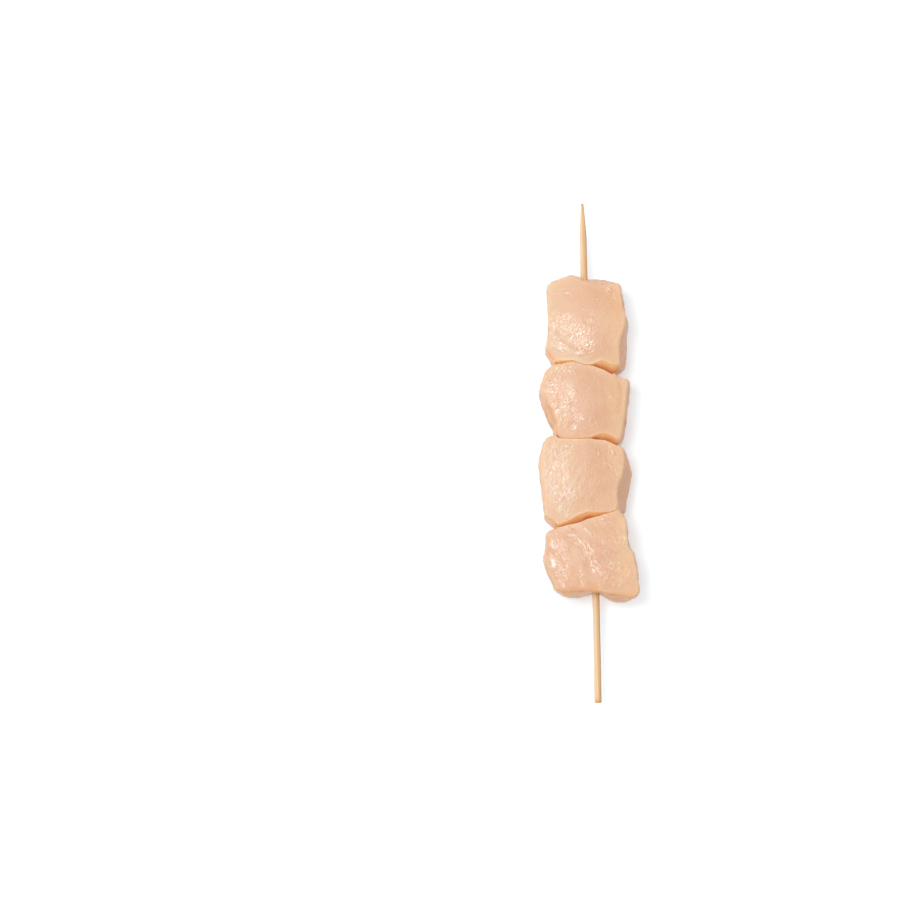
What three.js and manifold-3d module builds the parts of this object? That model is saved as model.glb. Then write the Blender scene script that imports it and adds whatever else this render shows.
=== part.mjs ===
// A raw chicken kebab: four hand-cut chunks of breast meat threaded on a round bamboo stick.
// Units are millimetres. +Y runs along the stick towards its point, +X is to the right of it
// and +Z is up. The kebab rests on the undersides of its chunks, at z = 0. Plan positions are
// [x from the stick, y from its blunt end].
import * as THREE from 'three';
import { mergeVertices } from 'three/addons/utils/BufferGeometryUtils.js';
import Module from 'manifold-3d';

const stick = {
  length: 200,
  diameter: 2.85,
  axisHeight: 12.5, // above the table
  centreLine: [[0, 0], [0.3, 22], [0.5, 46], [0.2, 105], [-0.2, 168], [-0.1, 185], [0, 200]],
  pointLength: 13.5,
  pointDiameter: 0.9, // the point is cut off this wide
  pointFullness: 0.8, // under 1 makes the flanks of the point bulge
  endChamfer: 0.35,
  sides: 20,
  shaftRings: 9,
  pointRings: 7,
  lineSteps: 200, // pieces that the centre line is split into
};

const fit = {
  chunkGap: 0.3, // between neighbouring chunks where they press together
  boreClearance: 0.3, // between the stick and the hole it makes
  boreSides: 14,
  boreRings: 16,
  boreSpan: [20, 190], // from y to y, longer than the row of chunks
};

const mesh = {
  topCells: 24, // grid cells along each edge of a chunk's top
  topCrowding: 0.16, // how much that grid closes up towards the edges
  // Spread and level of the rings of points down a chunk's sides, from its top edge to its base.
  rings: [
    [1, 0.78], [1, 0.5], [1, 0.2], [1, -0.12], [1, -0.44], [1, -0.74], [0.97, -0.97], [0.82, -1],
    [0.56, -1],
  ],
  middleHeight: 0.45, // of a chunk's height, where the rays to its surface start
  outlineSteps: 240,
  reach: 45, // further from a chunk's middle than any of its surface
  halvings: 30,
  flatWithin: 0.001, // what lies this close to the table lies on it
};

const meat = {
  topRounding: 2.8, // blend width along the upper edges
  seamRounding: 1.6, // blend width along the edges of a pressed face
  baseRounding: 3.4,
  tuck: 2.4, // how far the base is drawn in under the widest line
  tuckSwing: 0.55, // share by which that changes round the chunk
  tuckWaves: 3, // how often it does so in one turn
  tuckPower: 2,
  widestSwing: 1.6, // how much the widest line rises and falls round the chunk
  widestWaves: 2,
  bellyPower: 1.3, // over 1 keeps the side upright beside the widest line
  seamPower: 1.8, // the same for the pressed faces
  seamHead: 0.6, // how far the upper edge is drawn in on the blunt end's side of a seam
  seamOverlap: 1.6, // the outline runs this far past a seam, which then cuts it
  overlapDrawnIn: 0.5,
  riseLimit: 1.2, // heights over the widest line count up to this share of the way to the top
  waves: 6, // that the unevenness is summed from
  unevenDepth: 0.9, // broad hollows of the cut faces
  unevenLength: 12,
  unevenSpread: 0.4, // share by which the waves differ in length
  waveStep: 2.3, // radians between the lengths of one wave and the next
  grainDepth: 0.25, // ridges along the muscle fibres
  grainLength: 4.4, // from ridge to ridge
  grainTilt: 0.6, // shift of the ridges per mm of height
  grainSway: 1.4,
  swayLength: 5, // mm for each radian of the sway
  breakLength: 3, // the same for the breaks along a ridge
  sideRelief: 0.6, // share of the relief that the sides have
  reliefMiddle: 0.55, // this much of the relief stands proud, the rest is hollow
  baseFade: 4, // relief dies out this close above the table
};

const finishes = {
  rawChicken: { color: '#ecbf9f', roughness: 0.35, metalness: 0 },
  bamboo: { color: '#ecca98', roughness: 0.6, metalness: 0 },
};

// Where two neighbours press together, from the left side of the kebab to the right. The third
// number is how far the upper edge is drawn in there on the seam's side towards the point.
const seams = {
  firstSecond: [
    [-15, 134.9, 0.5], [-12.3, 135.2, 0.4], [-10, 135.5, 0.3], [-8, 136, 0.1], [-6, 136.1, 0],
    [-3, 135.4, 0], [0, 134.5, 0], [2, 133.9, 0.2], [4, 133.2, 1.2], [6, 132.3, 2.2],
    [8, 131.1, 2.8], [9.3, 130.4, 2.6], [12, 129.3, 1.7],
  ],
  secondThird: [
    [-16, 106.4, 0], [-12.6, 105.6, 0], [-8, 105.3, 0], [-4, 105.2, 0.2], [0, 105.1, 0.3],
    [2, 104.6, 1.3], [4, 104.2, 2], [6, 103.6, 2.2], [8, 103, 2], [10.5, 101.9, 1.6],
    [13, 101, 0.8],
  ],
  thirdFourth: [
    [-17, 68.6, 0.3], [-14, 69.5, 0.4], [-10, 70.6, 0.9], [-8, 71, 1.5], [-6, 71.5, 2],
    [-2, 72.9, 1.8], [0, 73.5, 1.2], [2, 74, 0.6], [4, 74.5, 0.1], [6, 74.9, 0], [8, 75.4, 0],
    [9.8, 76.1, 0.2], [14, 75.6, 0.4],
  ],
};

// The part of an outline that lies along a seam runs past it, and the seam's face cuts it off.
function past(seam, beyond) {
  return seam.slice(1, -1).map(([x, y]) => [x, y + beyond, meat.overlapDrawnIn]);
}
const tailEdge = (seam) => past(seam, -meat.seamOverlap);
const headEdge = (seam) => past(seam, meat.seamOverlap).reverse();

// The outline is the chunk's widest line, anticlockwise from above. Its third number is how far
// the upper edge is drawn in there. A fold is a groove in the top, with a steep and a soft flank.
const chunks = [
  {
    name: 'chunk_1',
    height: 25.5,
    widestHeight: 9.5,
    lean: [0.02, 0.015], // rise of the top per mm of x and of y
    crown: 75, // radius of the domed top
    crownMiddle: [3, 0], // from the middle of the chunk
    grain: 1.05, // direction of the fibres in plan, radians from +X
    seed: 1.3,
    tail: seams.firstSecond,
    outline: [
      [-14.2, 135.7, 0.8], ...tailEdge(seams.firstSecond), [10, 131.6, 1.4],
      [11.8, 131.4, 2], [13.9, 131.9, 2.2], [15.9, 134.5, 2.2], [16.2, 141, 2.9], [16.3, 147, 2.4],
      [16.9, 150.4, 2.2], [15.8, 154, 1], [15, 158, 0.6], [14.3, 162, 0.7], [13.5, 164.9, 0.7],
      [12.8, 166.5, 1.4], [10, 167.6, 1.6], [5, 168.5, 1.8], [-2, 169.8, 2], [-6, 170.6, 1.6],
      [-10, 169.5, 1.1], [-13.5, 168.1, 0.8], [-15, 166, 0.6], [-15, 162, 0.5], [-14.8, 156, 0.4],
      [-14.9, 149.5, 0.5], [-15.7, 145.4, 0.5], [-16.7, 141.4, 0.6], [-16.6, 139.4, 0.8],
      [-15.4, 137.4, 0.9],
    ],
    folds: [
      {
        path: [[-13.5, 146.5], [-10.5, 142.5], [-7, 140], [-2.5, 138.4]],
        flanks: [2.6, 1.5],
        depth: 0.55,
      },
      { path: [[-8, 157], [-2, 154.5], [3, 150.5]], flanks: [3.2, 1.8], depth: 0.4 },
      { path: [[6, 168], [9.5, 164.5], [12.5, 159]], flanks: [3, 1.8], depth: 0.45 },
    ],
  },
  {
    name: 'chunk_2',
    height: 24.3,
    widestHeight: 9.8,
    lean: [-0.01, 0.01],
    crown: 88,
    crownMiddle: [1, 3],
    grain: 1.9,
    seed: 4.1,
    head: seams.firstSecond,
    tail: seams.secondThird,
    outline: [
      [-13.9, 106.9, 1.6], ...tailEdge(seams.secondThird), [11.4, 103.3, 1.4],
      [13.4, 104.2, 1.7], [14.3, 105.6, 1.7], [14.2, 108.4, 1.6], [14.8, 112.4, 1.5], [15.2, 116.5, 1.3],
      [16.1, 120.4, 1.2], [16.6, 123.6, 1.1], [16.9, 125.6, 1], [16.8, 126.9, 0.8], [15.8, 128, 0.8],
      [13.8, 128.2, 0.8], [12, 129.3, 0.8], [10.4, 130.6, 0.7],
      ...headEdge(seams.firstSecond), [-13.2, 135.6, 0.7],
      [-15, 134.2, 0.9], [-16.6, 133.2, 0.9], [-17.4, 131.6, 0.9], [-18.3, 129, 1], [-19.3, 125.8, 1.3],
      [-19.5, 123, 1.6], [-18.9, 120.6, 1.7], [-17.5, 116.4, 2.1], [-16, 112.4, 2.2], [-14.5, 109.5, 2],
    ],
    folds: [
      { path: [[-15, 130], [-13.5, 124], [-10.5, 119], [-9.5, 113]], flanks: [3.4, 2], depth: 0.5 },
      { path: [[-7.5, 117], [-5, 113], [-6.5, 109.5]], flanks: [2.4, 1.4], depth: 0.45 },
      { path: [[12.5, 128], [13.5, 122], [12.5, 114]], flanks: [1.6, 2.2], depth: 0.35 },
    ],
  },
  {
    name: 'chunk_3',
    height: 25.5,
    widestHeight: 10,
    lean: [-0.01, -0.01],
    crown: 92,
    crownMiddle: [0, 5],
    grain: 1.2,
    seed: 2.6,
    head: seams.secondThird,
    tail: seams.thirdFourth,
    outline: [
      [-15.3, 70.6, 0.9], ...tailEdge(seams.thirdFourth), [12.9, 75.1, 3.4],
      [13.9, 76, 4], [14, 78.6, 4.3], [14.4, 81.4, 4.3], [15.6, 86.4, 4.3], [16.3, 89.4, 4.2],
      [16.4, 91.8, 3.8], [15.9, 94.5, 2.8], [14.6, 98, 1.7], [13.3, 100, 0.9], [12.2, 100.9, 0.7],
      ...headEdge(seams.secondThird), [-13, 106.3, 0.7],
      [-15, 106.1, 0.7], [-16.6, 105.7, 0.7], [-18, 104.8, 0.7], [-18.8, 103.2, 0.6], [-19.2, 101.5, 0.6],
      [-19.9, 99, 0.6], [-20.6, 95.5, 0.6], [-20.4, 91.4, 0.6], [-19.9, 87, 0.5], [-19.7, 82, 0.5],
      [-19.2, 77, 0.5], [-18.9, 75, 0.7], [-18.7, 73.5, 1], [-17.3, 72, 1.2],
    ],
    folds: [
      { path: [[-17.5, 97], [-15.5, 91], [-14, 86], [-11.5, 79]], flanks: [2.8, 1.5], depth: 0.75 },
      { path: [[-12.5, 93], [-10, 87.5], [-7, 84], [-3.5, 80.5]], flanks: [2.6, 1.4], depth: 0.5 },
      { path: [[-8, 103], [-11, 100.5], [-13.5, 97.5]], flanks: [1.4, 2.2], depth: 0.4 },
      { path: [[2, 103], [4, 98], [7.5, 95], [10, 91]], flanks: [2.4, 1.3], depth: 0.55 },
    ],
  },
  {
    name: 'chunk_4',
    height: 26.2,
    widestHeight: 9.5,
    lean: [0.01, 0],
    crown: 115,
    crownMiddle: [2, 4],
    grain: 2.1,
    seed: 5.7,
    head: seams.thirdFourth,
    outline: [
      [-16, 45.7, 0.9], [-14.5, 44.3, 1.2], [-12, 42.8, 1.5], [-7, 42.3, 1.8], [-3, 42.9, 1.6],
      [-1, 44, 1.5], [1.4, 43.9, 1.4], [3, 42.9, 1.2], [5, 41.4, 1.2], [7, 40.4, 1.8],
      [9.2, 39.9, 2], [13, 40.3, 1.3], [15.5, 41.3, 1], [17, 42.8, 0.9], [17.5, 46.3, 1],
      [17.9, 50.6, 1.4], [17.4, 54.3, 1.3], [16.5, 57.6, 1], [14.5, 62, 0.6], [13.9, 66, 0.6],
      [13.6, 70, 0.7], [12.8, 73, 0.7], [11.4, 75.4, 0.7],
      ...headEdge(seams.thirdFourth), [-14.4, 69.9, 0.7],
      [-16, 68.8, 0.7], [-18, 67.9, 0.7], [-18.8, 66.4, 0.7], [-19, 64, 0.6], [-19.3, 61.5, 0.6],
      [-19.8, 57.8, 0.6], [-19.4, 54.9, 0.6], [-18.5, 52, 0.8], [-17.2, 49, 0.9], [-16.4, 47.2, 0.9],
    ],
    folds: [
      { path: [[-8, 67], [-4, 61], [-1.2, 54.5], [-0.2, 50], [0, 43]], flanks: [3.4, 1.5], depth: 1.5 },
      { path: [[-8, 59], [-6.8, 55], [-5.6, 51], [-5.2, 46]], flanks: [3, 1.5], depth: 0.55 },
      { path: [[-18, 60], [-15.5, 57], [-13, 54], [-10.5, 47]], flanks: [2.6, 1.6], depth: 0.7 },
      { path: [[-13, 69], [-8.5, 70], [-5, 66.5]], flanks: [2.4, 1.4], depth: 0.4 },
    ],
  },
];

const goldenAngle = Math.PI * (3 - Math.sqrt(5));
const { clamp, lerp, smoothstep } = THREE.MathUtils;

// The larger of a and b, rounded off where they come within a width of each other.
function roundedMax(a, b, width) {
  const near = Math.max(width - Math.abs(a - b), 0) / width;
  return Math.max(a, b) + (near * near * width) / 4;
}

// A few sine waves in spread directions, from 0 to 1: the broad unevenness of a cut face.
function unevenness(x, y, z, seed) {
  let sum = 0;
  for (let wave = 0; wave < meat.waves; wave++) {
    const turn = seed + wave * goldenAngle;
    const length =
      meat.unevenLength * (1 + meat.unevenSpread * Math.sin(seed + meat.waveStep * wave));
    const run = x * Math.cos(turn) + y * Math.sin(turn) + z * Math.cos(3 * seed + wave);
    sum += Math.sin((2 * Math.PI * run) / length + seed * wave);
  }
  return 0.5 + (0.5 * sum) / Math.sqrt(2 * meat.waves);
}

// Long ridges that follow the muscle fibres, from 0 to 1.
function grainRidges(x, y, z, chunk) {
  const lengthwise = x * Math.cos(chunk.grain) + y * Math.sin(chunk.grain);
  const across = y * Math.cos(chunk.grain) - x * Math.sin(chunk.grain) + meat.grainTilt * z;
  const sway = meat.grainSway * Math.sin(lengthwise / meat.swayLength + chunk.seed);
  const ridge = Math.sin((2 * Math.PI * (across + sway)) / meat.grainLength);
  return 0.5 + 0.5 * ridge * Math.sin((lengthwise + across) / meat.breakLength);
}

// How deep the folds in a chunk's top are at a point of the plan.
function foldDepth(x, y, folds) {
  let deepest = 0;
  for (const { path, flanks, depth } of folds) {
    let offset = Infinity;
    for (let i = 1; i < path.length; i++) {
      const [ax, ay] = path[i - 1];
      const dx = path[i][0] - ax;
      const dy = path[i][1] - ay;
      const t = clamp(((x - ax) * dx + (y - ay) * dy) / (dx * dx + dy * dy), 0, 1);
      const toTheLeft = dx * (y - ay) - dy * (x - ax) > 0;
      const distance = Math.hypot(x - ax - t * dx, y - ay - t * dy);
      offset = Math.min(offset, distance / flanks[toTheLeft ? 1 : 0]);
    }
    deepest = Math.max(deepest, depth * Math.exp(-offset * offset));
  }
  return deepest;
}

// The index of the first item that passes a test, but never the first item or past the last.
function indexAfter(list, test) {
  const index = list.findIndex(test);
  return index < 0 ? list.length - 1 : Math.max(index, 1);
}

// A seam's y and its drawn-in edge at any x.
function seamAt(seam, x) {
  const next = indexAfter(seam, (point) => point[0] > x);
  const [ax, ay, aDrawnIn] = seam[next - 1];
  const [bx, by, bDrawnIn] = seam[next];
  const t = clamp((x - ax) / (bx - ax), 0, 1);
  return { y: lerp(ay, by, t), drawnIn: lerp(aDrawnIn, bDrawnIn, t) };
}

// The chunk's smooth outline round its middle: radius and drawn-in edge for any direction.
function rimOf(chunk) {
  const points = chunk.outline.map((p) => new THREE.Vector3(...p));
  const curve = new THREE.CatmullRomCurve3(points, true, 'centripetal');
  const samples = curve.getSpacedPoints(mesh.outlineSteps).slice(0, -1);
  const middle = new THREE.Vector3();
  samples.forEach((p) => middle.addScaledVector(p, 1 / samples.length));
  const polar = samples
    .map((p) => ({
      angle: Math.atan2(p.y - middle.y, p.x - middle.x),
      radius: Math.hypot(p.x - middle.x, p.y - middle.y),
      drawnIn: p.z,
    }))
    .sort((a, b) => a.angle - b.angle);
  const turn = 2 * Math.PI;
  const at = (angle) => {
    const next = Math.max(polar.findIndex((p) => p.angle > angle), 0);
    const low = polar[(next + polar.length - 1) % polar.length];
    const high = polar[next];
    const t = ((angle - low.angle + turn) % turn) / ((high.angle - low.angle + turn) % turn);
    return { radius: lerp(low.radius, high.radius, t), drawnIn: lerp(low.drawnIn, high.drawnIn, t) };
  };
  return { middle, at };
}

// How far a point lies outside the chunk, roughly in mm; zero on its surface.
function outside(chunk, middle, rim, point) {
  const { x, y, z } = point;
  const dx = x - middle.x;
  const dy = y - middle.y;
  const plan = Math.hypot(dx, dy);
  const angle = Math.atan2(dy, dx);
  const swing = Math.sin(meat.widestWaves * angle + chunk.seed);
  const widest = chunk.widestHeight + meat.widestSwing * swing;
  const above = clamp((z - widest) / (chunk.height - widest), 0, meat.riseLimit);
  const below = clamp((widest - z) / widest, 0, 1);
  const upward = smoothstep(above, 0, 1);

  const relief =
    meat.unevenDepth * unevenness(x, y, z, chunk.seed) +
    meat.grainDepth * grainRidges(x, y, z, chunk) - meat.reliefMiddle;
  const hollow = relief * lerp(meat.sideRelief, 1, upward) * smoothstep(z, 0, meat.baseFade);

  const tuckChange = meat.tuckSwing * Math.sin(meat.tuckWaves * angle + 2 * chunk.seed);
  const tuck = meat.tuck * (1 + tuckChange);
  const drawnIn = rim.drawnIn * above ** meat.bellyPower + tuck * below ** meat.tuckPower;
  let side = plan - (rim.radius - drawnIn) + hollow;
  const opening = above ** meat.seamPower;
  if (chunk.head) {
    const wall = y - seamAt(chunk.head, x).y + fit.chunkGap / 2 + meat.seamHead * opening;
    side = roundedMax(side, wall, meat.seamRounding);
  }
  if (chunk.tail) {
    const seam = seamAt(chunk.tail, x);
    const wall = seam.y - y + fit.chunkGap / 2 + seam.drawnIn * opening;
    side = roundedMax(side, wall, meat.seamRounding);
  }

  const fromCrown = Math.hypot(dx - chunk.crownMiddle[0], dy - chunk.crownMiddle[1]);
  const top =
    chunk.height + chunk.lean[0] * dx + chunk.lean[1] * dy -
    fromCrown ** 2 / (2 * chunk.crown) - foldDepth(x, y, chunk.folds);
  const skin = roundedMax(side, z - top + hollow, meat.topRounding);
  return roundedMax(skin, -z, meat.baseRounding);
}

// Halves the stretch from the middle outwards until it ends on the surface.
function surfacePoint(chunk, rim, direction) {
  const here = rim.at(Math.atan2(direction.y, direction.x));
  const point = new THREE.Vector3();
  let inner = 0;
  let outer = mesh.reach;
  for (let i = 0; i < mesh.halvings; i++) {
    const half = (inner + outer) / 2;
    point.copy(rim.middle).addScaledVector(direction, half);
    if (outside(chunk, rim.middle, here, point) > 0) outer = half;
    else inner = half;
  }
  return point;
}

// The chunk's surface: a square grid for the top, rings down the sides and a fan for the base,
// each point found along a ray from the chunk's middle.
function chunkGeometry(chunk) {
  const rim = rimOf(chunk);
  rim.middle.z = chunk.height * mesh.middleHeight;
  const n = mesh.topCells;
  const across = (rim.at(0).radius + rim.at(Math.PI).radius) / 2;
  const lengthwise = (rim.at(Math.PI / 2).radius + rim.at(-Math.PI / 2).radius) / 2;
  const crowd = (i) => {
    const t = (2 * i) / n - 1;
    return t * (1 + mesh.topCrowding * (1 - t * t));
  };
  const positions = [];
  const addPoint = (u, v, level) => {
    const rise = (level > 0 ? chunk.height - rim.middle.z : rim.middle.z) * level;
    const direction = new THREE.Vector3(u * across, v * lengthwise, rise).normalize();
    const { x, y, z } = surfacePoint(chunk, rim, direction);
    positions.push(x, y, Math.abs(z) < mesh.flatWithin ? 0 : z);
  };

  for (let j = 0; j <= n; j++) {
    for (let i = 0; i <= n; i++) addPoint(crowd(i), crowd(j), 1);
  }
  const edge = [];
  for (let i = 0; i < n; i++) edge.push([i, 0]);
  for (let j = 0; j < n; j++) edge.push([n, j]);
  for (let i = n; i > 0; i--) edge.push([i, n]);
  for (let j = n; j > 0; j--) edge.push([0, j]);
  for (const [spread, level] of mesh.rings) {
    for (const [i, j] of edge) addPoint(spread * crowd(i), spread * crowd(j), level);
  }
  const baseMiddle = positions.length / 3;
  positions.push(rim.middle.x, rim.middle.y, 0);

  const triangles = [];
  const addQuad = (a, b, c, d) => triangles.push(a, b, c, a, c, d);
  const gridIndex = (i, j) => j * (n + 1) + i;
  for (let j = 0; j < n; j++) {
    for (let i = 0; i < n; i++) {
      addQuad(gridIndex(i, j), gridIndex(i + 1, j), gridIndex(i + 1, j + 1), gridIndex(i, j + 1));
    }
  }
  const ringIndex = (ring, k) => {
    const [i, j] = edge[k % edge.length];
    return ring < 0 ? gridIndex(i, j) : (n + 1) ** 2 + ring * edge.length + (k % edge.length);
  };
  for (let k = 0; k < edge.length; k++) {
    for (let ring = 0; ring < mesh.rings.length; ring++) {
      const above = [ringIndex(ring - 1, k + 1), ringIndex(ring - 1, k)];
      addQuad(ringIndex(ring, k), ringIndex(ring, k + 1), ...above);
    }
    const last = mesh.rings.length - 1;
    triangles.push(ringIndex(last, k + 1), ringIndex(last, k), baseMiddle);
  }

  const geometry = new THREE.BufferGeometry();
  geometry.setAttribute('position', new THREE.Float32BufferAttribute(positions, 3));
  geometry.setIndex(triangles);
  return geometry;
}

// A closed round rod that follows the stick's centre line, through rings of [y, radius].
function rodGeometry(rings, sides) {
  const line = new THREE.SplineCurve(stick.centreLine.map(([x, y]) => new THREE.Vector2(x, y)));
  const courseX = (y) => {
    const points = line.getPoints(stick.lineSteps);
    const next = indexAfter(points, (p) => p.y > y);
    const slope = (points[next].x - points[next - 1].x) / (points[next].y - points[next - 1].y);
    return points[next].x + slope * (y - points[next].y);
  };
  const profile = rings.map(([y, radius]) => new THREE.Vector2(radius, y));
  const rod = new THREE.LatheGeometry(profile, sides);
  const position = rod.getAttribute('position');
  for (let i = 0; i < position.count; i++) {
    position.setX(i, position.getX(i) + courseX(position.getY(i)));
  }
  rod.translate(0, 0, stick.axisHeight);
  return rod;
}

// From the middle of the blunt end to the middle of the point.
function stickRings() {
  const radius = stick.diameter / 2;
  const pointRadius = stick.pointDiameter / 2;
  const shoulder = stick.length - stick.pointLength;
  const rings = [[0, 0], [0, radius - stick.endChamfer]];
  for (let ring = 0; ring < stick.shaftRings; ring++) {
    rings.push([lerp(stick.endChamfer, shoulder, ring / stick.shaftRings), radius]);
  }
  for (let ring = 0; ring <= stick.pointRings; ring++) {
    const t = ring / stick.pointRings;
    const taper = (1 - t) ** stick.pointFullness;
    rings.push([shoulder + t * stick.pointLength, lerp(pointRadius, radius, taper)]);
  }
  rings.push([stick.length, 0]);
  return rings;
}

// The hole that the stick makes in the chunks.
function boreRings() {
  const [start, end] = fit.boreSpan;
  const radius = stick.diameter / 2 + fit.boreClearance;
  const rings = [[start, 0]];
  for (let ring = 0; ring <= fit.boreRings; ring++) {
    rings.push([lerp(start, end, ring / fit.boreRings), radius]);
  }
  rings.push([end, 0]);
  return rings;
}

const wasm = await Module();
wasm.setup();

function toSolid(geometry) {
  const bare = new THREE.BufferGeometry();
  bare.setAttribute('position', geometry.getAttribute('position'));
  bare.setIndex(geometry.index);
  const merged = mergeVertices(bare);
  return new wasm.Manifold(new wasm.Mesh({
    numProp: 3,
    vertProperties: merged.getAttribute('position').array,
    triVerts: new Uint32Array(merged.index.array),
  }));
}

function toGeometry(solid) {
  const { vertProperties, triVerts } = solid.getMesh();
  const geometry = new THREE.BufferGeometry();
  geometry.setAttribute('position', new THREE.BufferAttribute(vertProperties, 3));
  geometry.setIndex(new THREE.BufferAttribute(triVerts, 1));
  geometry.computeVertexNormals();
  return geometry;
}

const kebab = new THREE.Group();

function addPiece(name, geometry, finish) {
  const piece = new THREE.Mesh(geometry, new THREE.MeshStandardMaterial(finish));
  piece.name = name;
  kebab.add(piece);
}

const bore = toSolid(rodGeometry(boreRings(), fit.boreSides));
for (const chunk of chunks) {
  const bored = toSolid(chunkGeometry(chunk)).subtract(bore);
  addPiece(chunk.name, toGeometry(bored), finishes.rawChicken);
}
addPiece('bamboo_stick', rodGeometry(stickRings(), stick.sides), finishes.bamboo);

// The origin goes to the middle of the kebab's footprint, on the table.
const extent = new THREE.Box3().setFromObject(kebab, true);
kebab.position.set(-(extent.min.x + extent.max.x) / 2, -(extent.min.y + extent.max.y) / 2, 0);

export default kebab;
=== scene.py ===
import math

import bpy
import numpy as np
from mathutils import Matrix, Vector


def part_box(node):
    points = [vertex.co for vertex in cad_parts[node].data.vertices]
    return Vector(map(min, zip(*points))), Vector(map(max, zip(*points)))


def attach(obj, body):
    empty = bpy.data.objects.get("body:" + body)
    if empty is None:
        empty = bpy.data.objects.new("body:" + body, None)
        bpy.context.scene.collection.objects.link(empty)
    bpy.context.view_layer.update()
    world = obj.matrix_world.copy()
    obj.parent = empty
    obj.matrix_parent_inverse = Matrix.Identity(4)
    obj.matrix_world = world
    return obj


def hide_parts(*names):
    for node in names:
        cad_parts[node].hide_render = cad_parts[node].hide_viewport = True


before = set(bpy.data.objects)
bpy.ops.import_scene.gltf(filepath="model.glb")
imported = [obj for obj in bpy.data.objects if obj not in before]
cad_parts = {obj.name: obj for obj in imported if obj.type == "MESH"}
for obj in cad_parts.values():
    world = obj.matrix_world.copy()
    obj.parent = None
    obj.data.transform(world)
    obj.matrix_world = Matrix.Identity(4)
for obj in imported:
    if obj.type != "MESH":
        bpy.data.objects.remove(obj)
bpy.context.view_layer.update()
print("frame loaded:", ", ".join(sorted(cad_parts)))

mm = 0.001
golden = math.pi * (3 - math.sqrt(5))
noiseGain = 1.6  # brings the noise to about -1 to 1

# Shapes are worked out in mm, from the stick's middle line and its blunt end, like the solids.
stick = {
    "radius": 1.425,
    "length": 200,
    "centreLine": [(0, 0), (0.3, 22), (0.5, 46), (0.2, 105), (-0.2, 168), (-0.1, 185), (0, 200)],
    "courseSteps": 400,
    "pointLength": 13.5,
    "pointRadius": 0.45,
    "pointFullness": 0.8,
    "endSteps": [(0, 0.3), (0.12, 0.12), (0.35, 0)],  # distance from the blunt end, and how far in
    "sides": 96,
    "shaftRings": 240,
    "pointRings": 60,
    "fibreDepth": 0.03,
    "fibresRound": 9,  # per turn, at the coarser scale
    "fibreLength": 26,
    "fineFibres": (0.35, 2.3, 5),  # share, scale and offset of the finer ones
    "sharpAngle": 50,
}
stickLow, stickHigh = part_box("bamboo_stick")
axisHeight = (stickLow.z + stickHigh.z) / 2 / mm
leftmost = min(x for x, y in stick["centreLine"])
toRow = np.array([stickLow.x / mm + stick["radius"] - leftmost, stickLow.y / mm, 0])


def smooth(low, high, value):
    t = np.clip((value - low) / (high - low), 0, 1)
    return t * t * (3 - 2 * t)


def atLeast(least, share):
    return least + (1 - least) * share


def turned(x, y, angle):
    # how far along and how far across a direction
    cosine, sine = math.cos(angle), math.sin(angle)
    return x * cosine + y * sine, y * cosine - x * sine


def roundedMax(a, b, width):
    near = np.maximum(width - np.abs(a - b), 0) / width
    return np.maximum(a, b) + near * near * width / 4


def makeNoise(seed):
    # gradient noise in three dimensions
    draw = np.random.default_rng(seed)
    order = draw.permutation(256)
    slopes = draw.normal(size=(256, 3))
    slopes /= np.linalg.norm(slopes, axis=1, keepdims=True)

    def noise(points):
        cell = np.floor(points).astype(int)
        part = points - cell
        ease = part ** 3 * (part * (part * 6 - 15) + 10)
        total = np.zeros(len(points))
        for corner in np.ndindex(2, 2, 2):
            at = cell + corner
            pick = order[(order[(order[at[:, 0] & 255] + at[:, 1]) & 255] + at[:, 2]) & 255]
            share = np.where(corner, ease, 1 - ease).prod(axis=1)
            total += share * ((part - corner) * slopes[pick]).sum(axis=1)
        return total * noiseGain

    return noise


noise = makeNoise(11)


def fromPiece(x, y, start, end):
    # from one straight piece of a path: the share of its length, the distance, and what lies on its left
    (ax, ay), (bx, by) = start, end
    dx, dy = bx - ax, by - ay
    t = np.clip(((x - ax) * dx + (y - ay) * dy) / (dx * dx + dy * dy), 0, 1)
    return t, np.hypot(x - ax - t * dx, y - ay - t * dy), dx * (y - ay) - dy * (x - ax) > 0


def lineDistance(x, y, path):
    # distance to a path, and the share of the path's length at its nearest point
    best = np.full(x.shape, np.inf)
    along = np.zeros(x.shape)
    run = 0
    for start, end in zip(path, path[1:]):
        t, distance, _ = fromPiece(x, y, start, end)
        nearer = distance < best
        best = np.where(nearer, distance, best)
        along = np.where(nearer, run + t * math.dist(start, end), along)
        run += math.dist(start, end)
    return best, along / run


def hermite(t, a, b, leaving, arriving):
    # smooth cubic from a to b, with its slopes at both ends
    return (
        (2 * t ** 3 - 3 * t ** 2 + 1) * a + (t ** 3 - 2 * t ** 2 + t) * leaving
        + (3 * t ** 2 - 2 * t ** 3) * b + (t ** 3 - t ** 2) * arriving
    )


def linked(name, data):
    made = bpy.data.objects.new(name, data)
    bpy.context.scene.collection.objects.link(made)
    return made


def makeObject(name, points, faces):
    mesh = bpy.data.meshes.new(name)
    mesh.from_pydata((points + toRow) * mm, [], faces)
    mesh.shade_smooth()
    return linked(name, mesh)


def pointsOf(obj):
    flat = np.empty(len(obj.data.vertices) * 3, np.float32)
    obj.data.vertices.foreach_get("co", flat)
    return flat.reshape(-1, 3).astype(float) / mm - toRow


def setMasks(obj, masks):
    for name, values in masks.items():
        layer = obj.data.attributes.new(name, "FLOAT", "POINT")
        layer.data.foreach_set("value", np.clip(values, 0, 1).astype(np.float32))


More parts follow.
